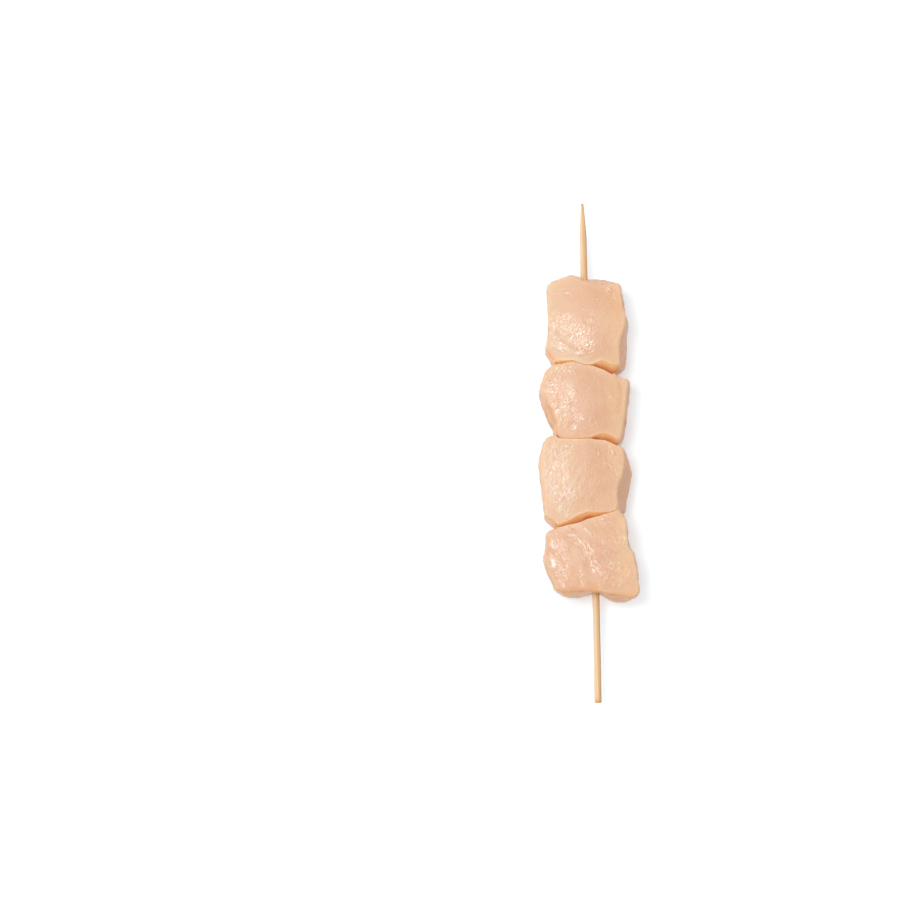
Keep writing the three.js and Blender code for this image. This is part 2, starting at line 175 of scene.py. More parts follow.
meat = {
    "topRounding": 1.3,
    "seamRounding": 0.3,
    "baseRounding": 3.4,
    "tuck": 2.4,  # how far the base is drawn in
    "tuckSwing": 0.55,
    "tuckWaves": 3,
    "tuckPower": 2,
    "widestSwing": 1.6,
    "widestWaves": 2,
    "bellyPower": 1.3,
    "seamShallow": 0.5,  # depth of a seam whose edge isn't set back
    "seamDeepening": 0.8,  # mm of depth for each mm that the edge is set back
    "seamPower": 1.2,
    "seamHead": 0.05,  # how far the head edge is set back
    "seamOverlap": 1.6,  # how far an outline runs on past its seam
    "overlapDrawnIn": 0.5,
    "touching": (-12.9, 10),  # from left to right, where neighbours meet
    "riseLimit": 1.2,
    "waves": 6,
    "unevenDepth": 0.8,  # slow bulges
    "unevenLength": 12,
    "unevenSpread": 0.4,
    "waveStep": 2.3,
    "grainDepth": 0.2,  # ridges of the muscle's grain
    "grainLength": 4.4,
    "grainTilt": 0.6,
    "grainSway": 1.4,
    "swayLength": 5,
    "breakLength": 3,
    "sideRelief": 0.6,  # share of the relief low on the sides
    "topRelief": 0.22,  # and on the top
    "reliefMiddle": 0.55,
    "baseFade": 4,
    "gap": 0.02,
    "curveSteps": 24,  # between two points of an outline
    "rimSteps": 720,
}

# Seams have points of x, y and how far the tail edge is set back.
seams = {
    "firstSecond": [
        (-16, 138.8, 0.3), (-15, 137.3, 0.4), (-14, 135.8, 0.9), (-13.2, 134.2, 1.2), (-12, 134.2, 1.3),
        (-10, 134.4, 1.1), (-8, 135, 0.5), (-6, 135.2, 0.2), (-4, 134.5, 0.1), (-2, 133.8, 0),
        (0, 133.3, 0.1), (2, 133.1, 0.7), (4, 132.2, 2.4), (6, 131.4, 3.6), (8, 130.2, 3.9),
        (9.4, 129.4, 3.9), (10.4, 130.2, 3.2), (11.5, 131.1, 2.3), (13, 132, 1.2), (15, 133.4, 0.6),
    ],
    "secondThird": [
        (-14.6, 108.4, 0.9), (-13.7, 106.6, 0.4), (-13, 104.7, 0.2), (-8, 104.1, 0.1), (-4, 103.9, 0.3),
        (0, 104, 0.6), (2, 103.5, 1.8), (4, 103.4, 2.6), (6, 103, 3.1), (8, 102.2, 3.3),
        (10.4, 100.9, 2.9), (11.3, 101.7, 2.2), (12.3, 102.8, 1.4), (13.3, 104, 0.8), (14.5, 105.5, 0.5),
    ],
    "thirdFourth": [
        (-18.5, 73.7, 0.1), (-17.3, 72.6, 0.1), (-16.2, 71.6, 0.2), (-15.2, 70.7, 0.4), (-14.4, 69.9, 0.9),
        (-13.6, 69, 1.4), (-10, 69.8, 1.8), (-8, 70.1, 2.4), (-6, 70.4, 3.1), (-4, 71.1, 3.1),
        (-2, 72, 2.8), (0, 72.4, 2.3), (2, 72.9, 1.6), (4, 73.5, 1), (6, 74, 0.5), (8, 74.5, 0.3),
        (9.8, 75.4, 0.3), (14, 75.2, 0.4),
    ],
}


def pastSeam(seam, beyond):
    left, right = meat["touching"]
    return [(x, y + beyond, meat["overlapDrawnIn"]) for x, y, _ in seam if left < x < right]


def tailEdge(name):
    return pastSeam(seams[name], -meat["seamOverlap"])


def headEdge(name):
    return pastSeam(seams[name], meat["seamOverlap"])[::-1]


# Outlines have points of x, y and how far the top's edge is drawn in. Folds are a path, the widths on
# its right and left, and the depth. Strands are thin raised fibres: a path, the width and the height.
# Patches are x, y, half length, half width, turn and amount, and the wet ones also the wrinkles' heading.
# The other patches are tints: light patches paint light, then blush, pearl, seep (juice), core patches paint
# shade deep in a seam, and the dark line under an edge is a painted shadow. Three shares scale tints that all
# chunks have: one the painted sheen on the left of a top, tanShare the tan on its right, and one the painted
# shade under the left edges. Stretch lengthens the creases in the film.
chunk1 = {
    "name": "chunk_1",
    "height": 25.5,
    "widestHeight": 9.5,
    "lean": (0.02, 0.015),
    "crown": 75,
    "crownMiddle": (3, 0),
    "grain": 1.05,
    "seed": 1.3,
    "head": None,
    "tail": "firstSecond",
    "outline": [
        (-14.6, 134.4, 0.6), *tailEdge("firstSecond"), (10.5, 130.2, 0.4), (12.3, 131.1, 0.5),
        (14.3, 132.3, 2.8), (15.6, 134.9, 4.4), (16, 138.9, 3.8), (16.3, 142.4, 3.3), (16.4, 146.2, 2.3),
        (16.9, 150.4, 0.9), (15.8, 154, 0.5), (15, 158, 0.2), (14.4, 162, 0.4), (13.8, 165.6, 0.7),
        (12.9, 167.8, 3.1), (10, 168.9, 4.4), (5, 169.8, 4.7), (1, 170.4, 4.5), (-2, 170.9, 3.6),
        (-6, 171.1, 1.9), (-10, 169.5, 1), (-13.6, 167.5, 0.4), (-15, 166, 0.2), (-15.2, 162, 0.1),
        (-15.1, 156, 0.1), (-15.1, 149.5, 0.2), (-15.8, 145.4, 0.2), (-16.7, 141.4, 0.3),
        (-16.6, 139.4, 0.4), (-15.4, 137.4, 0.5),
    ],
    "folds": [
        ([(-13.5, 146.5), (-10.5, 142.5), (-7, 140), (-2.5, 138.4)], (2.6, 1.5), 0.2),
        ([(-8, 157), (-2, 154.5), (3, 150.5)], (3.2, 1.8), 0.1),
        ([(6, 168), (9.5, 164.5), (12.5, 159)], (3, 1.8), 0.2),
    ],
    "wet": [
        (0, 152, 16, 14, 0, 0.1, 60), (-6, 146, 9.5, 7.5, 0, 0.5, 60), (-14, 150, 9, 1, 90, 0.5, 80),
        (-9.5, 150.5, 5.5, 4, 0, 0.9, -70), (-4.5, 146.5, 4.5, 3.2, -40, 1, 60),
        (-1.2, 141, 4, 3.2, 0, 0.9, 68), (-10.5, 142, 3.5, 2.2, -60, 0.8, -58),
        (-2.5, 137.6, 2.5, 0.9, -15, 0.7, -35), (-8, 162, 2.6, 1.1, 0, 0.8, 5),
        (3, 159.8, 2.8, 1, 0, 0.8, 0), (1.4, 150.7, 1.8, 0.9, -35, 0.9, -45),
        (10, 163, 3.6, 1.6, -50, 0.9, -50), (1.4, 154.5, 5, 1.2, 35, 0.3, 30),
    ],
    "strands": [
        ([(-12, 143.4), (-8, 139.4)], 0.8, 0.03), ([(-7, 138.4), (-3, 136.9)], 0.7, 0.03),
        ([(-5, 139.4), (-1, 145.4)], 0.7, 0.02), ([(-8, 141.5), (-5, 146)], 0.7, 0.02),
    ],
    "pearl": [(4.5, 167.8, 9.5, 2.2, -7, 1)],
    "seep": [
        (-0.6, 168.2, 1.5, 1.4, 0, 0.6), (11.6, 157.5, 2.6, 5.5, 10, 0.25), (13, 132.6, 2.6, 1.6, 30, 0.4),
        (-15.2, 136.9, 2.6, 1.1, -57, 0.6),
    ],
    # the core patches paint shade deep in the seam
    "core": [(5.5, 131.8, 4.5, 1, -28, 0.75)],
    "blush": [(-15.8, 137.2, 4, 1.8, -55, 0.8)],
    # this share scales the painted shade under the left edge
    "shadedRimShare": 0.35,
    # the light patch paints light along the left edge, for its sheen
    "light": [(-14.6, 152, 13, 1.3, 90, 0.8)],
}
chunk2 = {
    "name": "chunk_2",
    "height": 24.3,
    "widestHeight": 9.8,
    "lean": (-0.01, 0.01),
    "crown": 88,
    "crownMiddle": (1, 3),
    "grain": 1.9,
    "seed": 4.1,
    "head": "firstSecond",
    "tail": "secondThird",
    "outline": [
        (-14.4, 105.9, 1), *tailEdge("secondThird"), (11.4, 101.6, 1.2), (12.9, 103.4, 1.3),
        (13.7, 105.2, 1.9), (14.4, 108.4, 1.6), (15.1, 112.4, 1.4), (15.6, 116.5, 1.3), (16.4, 120.4, 1.4),
        (16.7, 123.6, 0.8), (16.9, 125.6, 0.6), (16.8, 126.9, 0.5), (15.8, 128, 0.5), (13.8, 128.2, 0.8),
        (12, 129.3, 0.8), (10.4, 130.6, 0.7), *headEdge("firstSecond"), (-13.2, 135.3, 0.5),
        (-15, 134, 0.6), (-16.5, 132.9, 0.7), (-17.4, 131.4, 0.8), (-18.3, 129, 1), (-19.3, 125.8, 1.3),
        (-19.5, 123, 1.6), (-18.9, 120.6, 1.7), (-17.5, 116.4, 2.1), (-16, 112.4, 2.2), (-14.5, 109.5, 2),
    ],
    "folds": [
        ([(-15, 130), (-13.5, 124), (-10.5, 119), (-9.5, 113)], (3.4, 2), 0.2),
        ([(-7.5, 117), (-5, 113), (-6.5, 109.5)], (2.4, 1.4), 0.2),
        ([(12.5, 128), (13.5, 122), (12.5, 114)], (1.6, 2.2), 0.35),
    ],
    "wet": [
        (0, 119, 16, 13, 0, 0.1, 60), (-11, 122, 14, 5.5, 105, 0.5, 60),
        (-10, 131.5, 5, 2.6, 10, 0.8, -75), (-14.5, 124.5, 4.5, 3, -60, 0.9, 55),
        (-10.6, 117, 3.6, 2.4, 20, 1, 25), (-8, 124, 3, 3, 0, 0.4, 70), (-4.4, 112.6, 2.6, 1.7, 0, 1, -20),
        (-6.6, 109, 1.4, 1.2, 0, 0.7, -60), (0.9, 112, 2, 0.7, 75, 0.6, 72),
        (3.2, 108.6, 2, 0.9, -60, 0.7, -60),
    ],
    "strands": [
        ([(-15, 126), (-12, 119), (-9, 115)], 0.8, 0.02), ([(-12, 130), (-9, 123)], 0.7, 0.02),
        ([(1, 113), (0.5, 110.3)], 0.6, 0.02),
    ],
    "blush": [(-16.6, 114.5, 9, 2.4, 110, 0.9)],
    "seep": [(-16, 114.5, 8, 1.1, 110, 0.5)],
    # this share scales the painted sheen on the left of the top
    "sheenShare": 0.5,
    # the core patches paint shade deep in the seam
    "core": [(2.4, 103.9, 1.7, 0.9, -5, 1), (7, 102.6, 3, 0.8, -14, 0.5)],
}
chunk3 = {
    "name": "chunk_3",
    "height": 25.5,
    "widestHeight": 10,
    "lean": (-0.01, -0.01),
    "crown": 92,
    "crownMiddle": (0, 5),
    "grain": 1.2,
    "seed": 2.6,
    "head": "secondThird",
    "tail": "thirdFourth",
    "outline": [
        (-15.3, 69, -0.2), *tailEdge("thirdFourth"), (12.5, 74.8, 3.6), (13.3, 76, 4.5), (13.8, 78.4, 5.1),
        (14.4, 81.4, 5.3), (15.6, 86.4, 5.1), (16.3, 89.4, 4.8), (16.4, 91.8, 4.3), (15.9, 94.5, 3.2),
        (14.6, 98, 1.9), (13.3, 100, 0.9), (12.2, 100.9, 0.7), *headEdge("secondThird"), (-13, 106.3, 0.7),
        (-15, 106.1, 0.7), (-16.6, 105.7, 0.7), (-18, 104.8, 0.7), (-18.8, 103.2, 0.6),
        (-19.2, 101.5, 0.6), (-19.9, 99, 0.6), (-20.6, 95.5, 0.6), (-20.4, 91.4, 0.6), (-19.9, 87, 0.5),
        (-19.7, 82, 0.5), (-19.2, 77, 0.5), (-18.9, 75, 0.1), (-18.8, 72.9, -0.6), (-17.3, 70.8, -0.6),
    ],
    "folds": [
        ([(-17.5, 97), (-15.5, 91), (-14, 86), (-11.5, 79)], (2.8, 1), 0.22),
        ([(-12.5, 93), (-10, 87.5), (-7, 84), (-3.5, 80.5)], (2.6, 1), 0.15),
        ([(-8, 103), (-11, 100.5), (-13.5, 97.5)], (1.4, 2.2), 0.25),
        ([(2, 103), (4, 98), (7.5, 95), (10, 91)], (2.4, 1.6), 0.12),
    ],
    "wet": [
        (0, 88, 18, 14, 0, 0.1, 70), (-13, 88, 14, 4.5, 95, 0.5, 75), (-14, 87.6, 4.6, 1.3, 85, 1, 80),
        (-13.6, 81.6, 3, 1.1, -62, 1, -62), (-11.2, 87.5, 3.2, 0.9, -70, 0.9, -70),
        (-7.4, 82.3, 3.8, 1, -48, 0.8, -48), (-10.4, 98.8, 3.4, 1.6, 50, 0.9, 35),
        (-14, 93.6, 2.4, 1, 60, 0.7, 60), (-17.2, 90.2, 1.6, 1, 0, 0.7, 55),
        (-18.6, 93.6, 4, 0.6, 92, 0.7, 90), (3.3, 98.2, 2.4, 0.7, -65, 0.7, -65),
        (7, 93.4, 3.2, 0.8, -45, 0.7, -45), (9, 98.2, 2, 0.7, -58, 0.8, -58),
        (10.2, 89.4, 1.8, 0.6, 90, 0.6, 90), (-15.5, 76, 3, 3, 0, 0.25, -40),
        (11.6, 95, 2.4, 0.8, -80, 0.5, -80),
    ],
    "strands": [
        ([(-15, 88.4), (-13, 80.4)], 0.9, 0.04), ([(-12, 90.4), (-7, 82.4), (-4, 79.4)], 0.7, 0.03),
        ([(-12, 96.4), (-8, 100.4)], 0.7, 0.02), ([(2.5, 100.4), (4, 96.4)], 0.7, 0.03),
        ([(5, 95.4), (9, 91.4)], 0.7, 0.03),
    ],
    # the core patches paint shade deep in the seam
    "core": [(-2, 72.4, 2.4, 0.9, 18, 1)],
    "seep": [
        (15, 93, 1.6, 4, 0, 0.6), (13.2, 84, 0.7, 5, 12, 0.4), (-16.5, 71.3, 3.2, 1.1, -43, 0.8),
    ],
    "tanShare": 1.2,
    # the light patch paints light on the lower right, where the top slopes away from the light
    "light": [(9, 79, 8, 5, 15, 0.8)],
    "pearl": [(-17.3, 71.6, 3.6, 2.6, -45, 1)],
    "stretch": 2.4,
    "wrinkleSize": (2.6, 0.6),
}
chunk4 = {
    "name": "chunk_4",
    "height": 26.2,
    "widestHeight": 9.5,
    "lean": (0.01, 0),
    "crown": 115,
    "crownMiddle": (2, 4),
    "grain": 2.1,
    "seed": 5.7,
    "head": "thirdFourth",
    "tail": None,
    "outline": [
        (-16, 45.7, -0.3), (-14.5, 44.3, -0.6), (-12, 42.9, -0.2), (-7, 42.4, 0.6), (-3, 42.9, 0.1),
        (-1, 43.1, -0.1), (1.4, 43, -0.1), (3, 42.6, 0.1), (5, 41.5, 0.6), (7, 40.5, 1.5), (9.2, 40, 1.8),
        (12, 40.1, 0.6), (13.7, 40.6, -0.7), (15.5, 41.4, -1.1), (17, 42.9, -0.6), (17.45, 46.3, 0.4),
        (17.77, 50.6, 1), (17.35, 54.3, 1.3), (16.5, 57.6, 1), (14.5, 62, 0.6), (13.9, 66, 0.6),
        (13.6, 70, 0.7), (12.8, 73, 0.7), (11.4, 75.4, 0.7), *headEdge("thirdFourth"), (-14.4, 69.9, 0.7),
        (-16, 68.8, 0.7), (-18, 67.9, 0.7), (-18.8, 66.4, 0.7), (-19, 64, 0.6), (-19.3, 61.5, 0.6),
        (-19.8, 57.8, 0.6), (-19.4, 54.9, 0.6), (-18.5, 52, 0.8), (-17.2, 49, 0.9), (-16.4, 47.2, 0.9),
    ],
    "folds": [
        ([(-8, 67), (-4, 61), (-1.2, 54.5), (-0.2, 50), (0, 43)], (3, 1.2), 0.45),
        ([(-8, 59), (-6.8, 55), (-5.6, 51), (-5.2, 46)], (3, 1.2), 0.2),
        ([(-18, 60), (-15.5, 57), (-13, 54), (-10.5, 47)], (2.6, 1.4), 0.3),
        ([(-13, 69), (-8.5, 70), (-5, 66.5)], (2.4, 1.4), 0.15),
    ],
    "wet": [
        (0, 57, 17, 13, 0, 0.1, -50), (-14, 57, 10, 4.5, 100, 0.5, -45), (-2, 57, 9, 2.2, -60, 0.55, -60),
        (-3.2, 61.4, 3.8, 1.2, -42, 1, -45), (-1.6, 55.8, 2.4, 0.9, -62, 0.9, -62),
        (-0.6, 51.6, 2.6, 0.6, -72, 0.9, -72), (1.4, 51.6, 2.2, 0.6, -62, 0.7, -62),
        (-2, 67, 2, 0.8, -42, 0.8, -42), (-16.3, 61.5, 4.2, 2, -75, 0.9, -65),
        (-15.4, 54.2, 3.6, 1.6, -42, 1, -35), (-13.6, 51, 3.4, 2, 0, 0.7, 25),
        (-13, 46.4, 2, 0.9, -45, 0.8, -45), (-5.4, 49.2, 3.6, 0.6, 98, 0.7, 95),
        (-9.6, 66.2, 3.4, 0.9, -28, 0.8, -30), (-16.5, 66.3, 1.6, 0.8, 20, 0.6, 20),
        (11, 65, 3.6, 1, -65, 0.6, -60), (7, 56, 9, 14, 0, 0.12, 60), (10, 49, 7, 5, 0, 0.2, 60),
        (4, 71, 4, 2, 20, 0.35, 20),
    ],
    "strands": [
        ([(-6, 63.4), (-4, 62.4), (-2.5, 60.4), (-1.5, 55.4), (-0.5, 52.4), (0.3, 49.4)], 0.8, 0.04),
        ([(-0.5, 59.4), (1.5, 52.4)], 0.7, 0.02), ([(-3, 67.9), (-1, 65.9)], 0.7, 0.03),
        ([(-6, 52.4), (-4.6, 46.4)], 0.7, 0.03), ([(-16, 60), (-13, 53), (-11, 48)], 0.8, 0.03),
    ],
    "seep": [
        (-0.2, 43.9, 2.4, 1.6, 0, 0.6), (9, 40.6, 6.5, 1.9, 0, 0.6), (-8, 43, 7, 1.3, 0, 0.4),
        (-17.7, 51, 4.5, 0.9, 113, 0.5),
    ],
    "blush": [(-17, 55, 12, 2.5, 100, 0.3), (-9, 43.6, 7, 1.7, 0, 0.8)],
    # these patches paint the shadow under the overhanging top
    "browShadow": [(5.5, 42, 4.5, 2.5, -15, 1), (11, 41, 2.5, 2.5, 0, 0.7), (-5, 43.4, 5, 2, 0, 0.6)],
    "stretch": 1.2,
    # this share scales the painted sheen on the left of the top
    "sheenShare": 0.15,
}
chunks = [chunk1, chunk2, chunk3, chunk4]


def unevenness(x, y, z, seed):
    total = 0
    for wave in range(meat["waves"]):
        turn = seed + wave * golden
        spread = meat["unevenSpread"] * math.sin(seed + meat["waveStep"] * wave)
        run = x * math.cos(turn) + y * math.sin(turn) + z * math.cos(3 * seed + wave)
        total = total + np.sin(2 * np.pi * run / (meat["unevenLength"] * (1 + spread)) + seed * wave)
    return 0.5 + 0.5 * total / math.sqrt(2 * meat["waves"])


def grainRidges(x, y, z, chunk):
    lengthwise, across = turned(x, y, chunk["grain"])
    across = across + meat["grainTilt"] * z
    sway = meat["grainSway"] * np.sin(lengthwise / meat["swayLength"] + chunk["seed"])
    ridge = np.sin(2 * np.pi * (across + sway) / meat["grainLength"])
    return 0.5 + 0.5 * ridge * np.sin((lengthwise + across) / meat["breakLength"])


def foldDepth(x, y, folds):
    deepest = 0
    for path, (right, left), depth in folds:
        offset = np.full(x.shape, np.inf)
        for start, end in zip(path, path[1:]):
            _, distance, onLeft = fromPiece(x, y, start, end)
            offset = np.minimum(offset, distance / np.where(onLeft, left, right))
        deepest = np.maximum(deepest, depth * np.exp(-offset * offset))
    return deepest


def closedCurve(points, steps):
    # a centripetal Catmull-Rom curve, resampled at even spacing
    p0, p1, p2, p3 = (np.roll(points, shift, axis=0) for shift in (1, 0, -1, -2))
    pairs = ((p0, p1), (p1, p2), (p2, p3))
    before, here, after = (np.sqrt(np.linalg.norm(b - a, axis=1))[:, None] for a, b in pairs)
    start = ((p1 - p0) / before - (p2 - p0) / (before + here) + (p2 - p1) / here) * here
    end = ((p2 - p1) / here - (p3 - p1) / (here + after) + (p3 - p2) / after) * here
    t = np.linspace(0, 1, meat["curveSteps"], endpoint=False)[:, None, None]
    dense = hermite(t, p1, p2, start, end).transpose(1, 0, 2).reshape(-1, points.shape[1])
    dense = np.vstack([dense, dense[:1]])
    run = np.concatenate([[0], np.cumsum(np.linalg.norm(np.diff(dense, axis=0), axis=1))])
    even = np.linspace(0, run[-1], steps, endpoint=False)
    return np.stack([np.interp(even, run, column) for column in dense.T], axis=1)


def rimOf(chunk):
    samples = closedCurve(np.array(chunk["outline"], float), meat["rimSteps"])
    middle = samples[:, :2].mean(axis=0)
    dx, dy = (samples[:, :2] - middle).T
    angle = np.arctan2(dy, dx)
    order = np.argsort(angle)
    angle, radius, drawnIn = angle[order], np.hypot(dx, dy)[order], samples[order, 2]

    def at(direction):
        return [np.interp(direction, angle, values, period=2 * np.pi) for values in (radius, drawnIn)]

    return middle, at


def seamAt(name, x):
    xs, ys, drawnIn = np.array(seams[name], float).T
    return np.interp(x, xs, ys), np.interp(x, xs, drawnIn)


def seamOpening(above, edgeIn):
    # 1 at the top of a seam and 0 where the two chunks meet, deeper where the seam is wide
    depth = meat["seamShallow"] + meat["seamDeepening"] * edgeIn
    return np.clip(1 + above / depth, 0, meat["riseLimit"]) ** meat["seamPower"]


def formOf(chunk, middle, rim, x, y, z):
    # how far a point is past a chunk's sides, the walls of its seams and its top
    dx, dy = x - middle[0], y - middle[1]
    angle = np.arctan2(dy, dx)
    radius, drawnInHere = rim
    widest = chunk["widestHeight"] + meat["widestSwing"] * np.sin(meat["widestWaves"] * angle + chunk["seed"])
    above = np.clip((z - widest) / (chunk["height"] - widest), 0, meat["riseLimit"])
    below = np.clip((widest - z) / widest, 0, 1)
    bumps = (
        meat["unevenDepth"] * unevenness(x, y, z, chunk["seed"])
        + meat["grainDepth"] * grainRidges(x, y, z, chunk) - meat["reliefMiddle"]
    )
    hollow = bumps * atLeast(meat["sideRelief"], smooth(0, 1, above)) * smooth(0, meat["baseFade"], z)
    tuck = meat["tuck"] * (1 + meat["tuckSwing"] * np.sin(meat["tuckWaves"] * angle + 2 * chunk["seed"]))
    drawnIn = drawnInHere * above ** meat["bellyPower"] + tuck * below ** meat["tuckPower"]
    side = np.hypot(dx, dy) - (radius - drawnIn) + hollow
    fromCrown = np.hypot(dx - chunk["crownMiddle"][0], dy - chunk["crownMiddle"][1])
    topAt = (
        chunk["height"] + chunk["lean"][0] * dx + chunk["lean"][1] * dy
        - fromCrown ** 2 / (2 * chunk["crown"]) - foldDepth(x, y, chunk["folds"])
    )
    walls = -np.inf
    if chunk["head"]:
        seamY, edgeIn = seamAt(chunk["head"], x)
        head = y - seamY + meat["gap"] / 2 + meat["seamHead"] * seamOpening(z - topAt, edgeIn)
        walls = np.maximum(walls, head)
    if chunk["tail"]:
        seamY, edgeIn = seamAt(chunk["tail"], x)
        tail = seamY - y + meat["gap"] / 2 + edgeIn * seamOpening(z - topAt, edgeIn)
        walls = np.maximum(walls, tail)
    return side, walls, z - topAt + meat["topRelief"] * hollow


def formAt(chunk, middle, rimAt, points):
    x, y, z = points.T
    return formOf(chunk, middle, rimAt(np.arctan2(y - middle[1], x - middle[0])), x, y, z)


def outside(chunk, middle, rim, x, y, z):
    side, walls, top = formOf(chunk, middle, rim, x, y, z)
    form = roundedMax(roundedMax(side, top, meat["topRounding"]), walls, meat["seamRounding"])
    return roundedMax(form, -z, meat["baseRounding"])


relief = {
    "inset": 0.1,  # the relief's middle level under the solid's surface
    "bundleDepth": 0.024,  # muscle bundles
    "sideBundles": 0.2,  # the same on the cut sides
    "bundleSize": (5, 0.9),
    "bundleWarp": 1.6,
    "lumpDepth": 0.03,
    "lumpSize": 3.2,
    "wrinkleDepth": 0.03,  # wet, wrinkled film
    "wrinkleSize": (1.1, 0.66),
    "wrinkleWarp": 3.2,
    "wrinkleForm": (0.6, -1.4, 0.35),  # level, grooves and ripples
    "wrinkleRest": 0.35,  # share of the wrinkles outside the wet patches
    "warpLength": 6,
    "warpRise": 0.5,
    "pitDepth": 0.012,
    "pitSize": 0.5,
    "strandEnds": 0.18,
    "patchEdge": (1.35, 0.55),
    "wetSize": 2.4,
    "wetLevel": 0.75,
    "wetSwing": 0.6,
    "sideWet": 0.6,
    "sideWetSize": 7,
    "sideWetFrom": (0.1, 0.6),
    "topFacing": (0.35, 0.8),  # how far up a normal points on the side and on the top
    "closedFrom": (-0.9, 0.1),  # where a seam's faces are pressed plain
    "fadeUp": (0, 2.5),
}


def patchShare(x, y, patches):
    most = np.zeros(x.shape)
    for px, py, length, width, turn, amount, *_ in patches:
        u, v = turned(x - px, y - py, math.radians(turn))
        most = np.maximum(most, amount * smooth(*relief["patchEdge"], np.hypot(u / length, v / width)))
    return most


def grainSpace(points, chunk, size, warp):
    # coordinates that run along the fibres, bent by a slow warp
    lengthwise, across = turned(points[:, 0], points[:, 1], chunk["grain"])
    bend = warp * noise(points / relief["warpLength"] + chunk["seed"])
    bent = np.stack([lengthwise, across + bend, points[:, 2] + relief["warpRise"] * bend], axis=1)
    return bent / np.array([size[0], size[1], size[1]]) + 7.3 * chunk["seed"]


def fineRelief(points, chunk, onTop):
    # each noise is moved by its own multiple of the chunk's seed
    x, y = points[:, 0], points[:, 1]
    seed = chunk["seed"]
    sideWet = smooth(*relief["sideWetFrom"], noise(points / relief["sideWetSize"] + 5 * seed))
    wet = np.where(onTop > 0, patchShare(x, y, chunk["wet"]) * onTop, 0)
    wet = wet + (1 - onTop) * relief["sideWet"] * sideWet
    unevenWet = relief["wetLevel"] + relief["wetSwing"] * noise(points / relief["wetSize"] + 3 * seed)
    wet = np.clip(wet * unevenWet, 0, 1)
    bundles = noise(grainSpace(points, chunk, relief["bundleSize"], relief["bundleWarp"]))
    lumps = noise(points / relief["lumpSize"] + 2.7 * seed)
    wrinkleSize = chunk.get("wrinkleSize", relief["wrinkleSize"])
    wrinkleAt = grainSpace(points, chunk, wrinkleSize, relief["wrinkleWarp"])
    level, groove, ripple = relief["wrinkleForm"]
    wrinkles = level + groove * np.abs(noise(wrinkleAt)) + ripple * noise(wrinkleAt * 1.7 + 9)
    pits = noise(points / relief["pitSize"] + 1.9 * seed)
    wrinkleShare = atLeast(relief["wrinkleRest"], wet)
    height = (
        (relief["bundleDepth"] * onTop + relief["sideBundles"] * (1 - onTop)) * bundles
        + relief["lumpDepth"] * lumps
        + relief["wrinkleDepth"] * wrinkleShare * wrinkles + relief["pitDepth"] * pits - relief["inset"]
    )
    ends = relief["strandEnds"]
    for path, width, tall in chunk["strands"]:
        distance, along = lineDistance(x, y, path)
        fade = smooth(0, ends, along) * smooth(1, 1 - ends, along)
        height += onTop * tall * fade * np.exp(-(distance / width) ** 2 * 2)
    return height, wet


film = {
    "from": 0.05,  # share of being on the top
    "perArea": 0.9,  # per square mm
    "spread": 1.15,
    "height": (0.04, 0.09),
    "least": 0.25,  # share of their height where a patch is faint
    "half": (0.2, 0.85),
    "width": (0.19, 0.27),
    "reach": 3,  # in widths
    "swing": 0.4,
    "bend": 0.12,
}


def filmStrokes(points, chunk, onTop):
    # short raised creases scattered over the wet patches
    draw = np.random.default_rng(int(10 * chunk["seed"]))
    height = np.zeros(len(points))
    top = np.flatnonzero(onTop > film["from"])
    top = top[np.argsort(points[top, 0])]
    x, y = points[top, 0], points[top, 1]
    for px, py, length, width, turn, amount, heading in chunk["wet"]:
        cosine, sine = math.cos(math.radians(turn)), math.sin(math.radians(turn))
        for _ in range(int(film["perArea"] * math.pi * length * width)):
            r, a = film["spread"] * math.sqrt(draw.random()), 2 * math.pi * draw.random()
            u, v = r * math.cos(a) * length, r * math.sin(a) * width
            sx, sy = px + u * cosine - v * sine, py + u * sine + v * cosine
            way = math.radians(heading) + film["swing"] * draw.normal()
            half = chunk.get("stretch", 1) * draw.uniform(*film["half"])
            wide = draw.uniform(*film["width"])
            tall = draw.uniform(*film["height"]) * atLeast(film["least"], amount)
            reach = half + film["reach"] * wide
            first, last = np.searchsorted(x, (sx - reach, sx + reach))
            near = first + np.flatnonzero(np.abs(y[first:last] - sy) < reach)
            along, across = turned(x[near] - sx, y[near] - sy, way)
            across = across + film["bend"] * along * along
            past = np.maximum(np.abs(along) - half, 0)
            height[top[near]] += tall * np.exp(-(past * past + across * across) / (wide * wide))
    return height * onTop


def courseX(y):
    # the stick's line, smooth through its few bends
    ys = np.linspace(0, stick["length"], stick["courseSteps"])
    atY, atX = np.array(stick["centreLine"], float).T[::-1]
    slope = np.gradient(atX, atY)
    at = np.clip(np.searchsorted(atY, ys) - 1, 0, len(atY) - 2)
    gap = atY[at + 1] - atY[at]
    line = hermite((ys - atY[at]) / gap, atX[at], atX[at + 1], gap * slope[at], gap * slope[at + 1])
    return np.interp(y, ys, line)


surface = {
    "cells": 225,  # along each edge of a chunk's top
    "crowding": 0.05,
    "sideRings": 40,
    "baseRings": 7,
    "baseSpread": 0.5,
    "middleHeight": 0.45,
    "reach": 45,
    "halvings": 24,
    "flatWithin": 0.001,
}


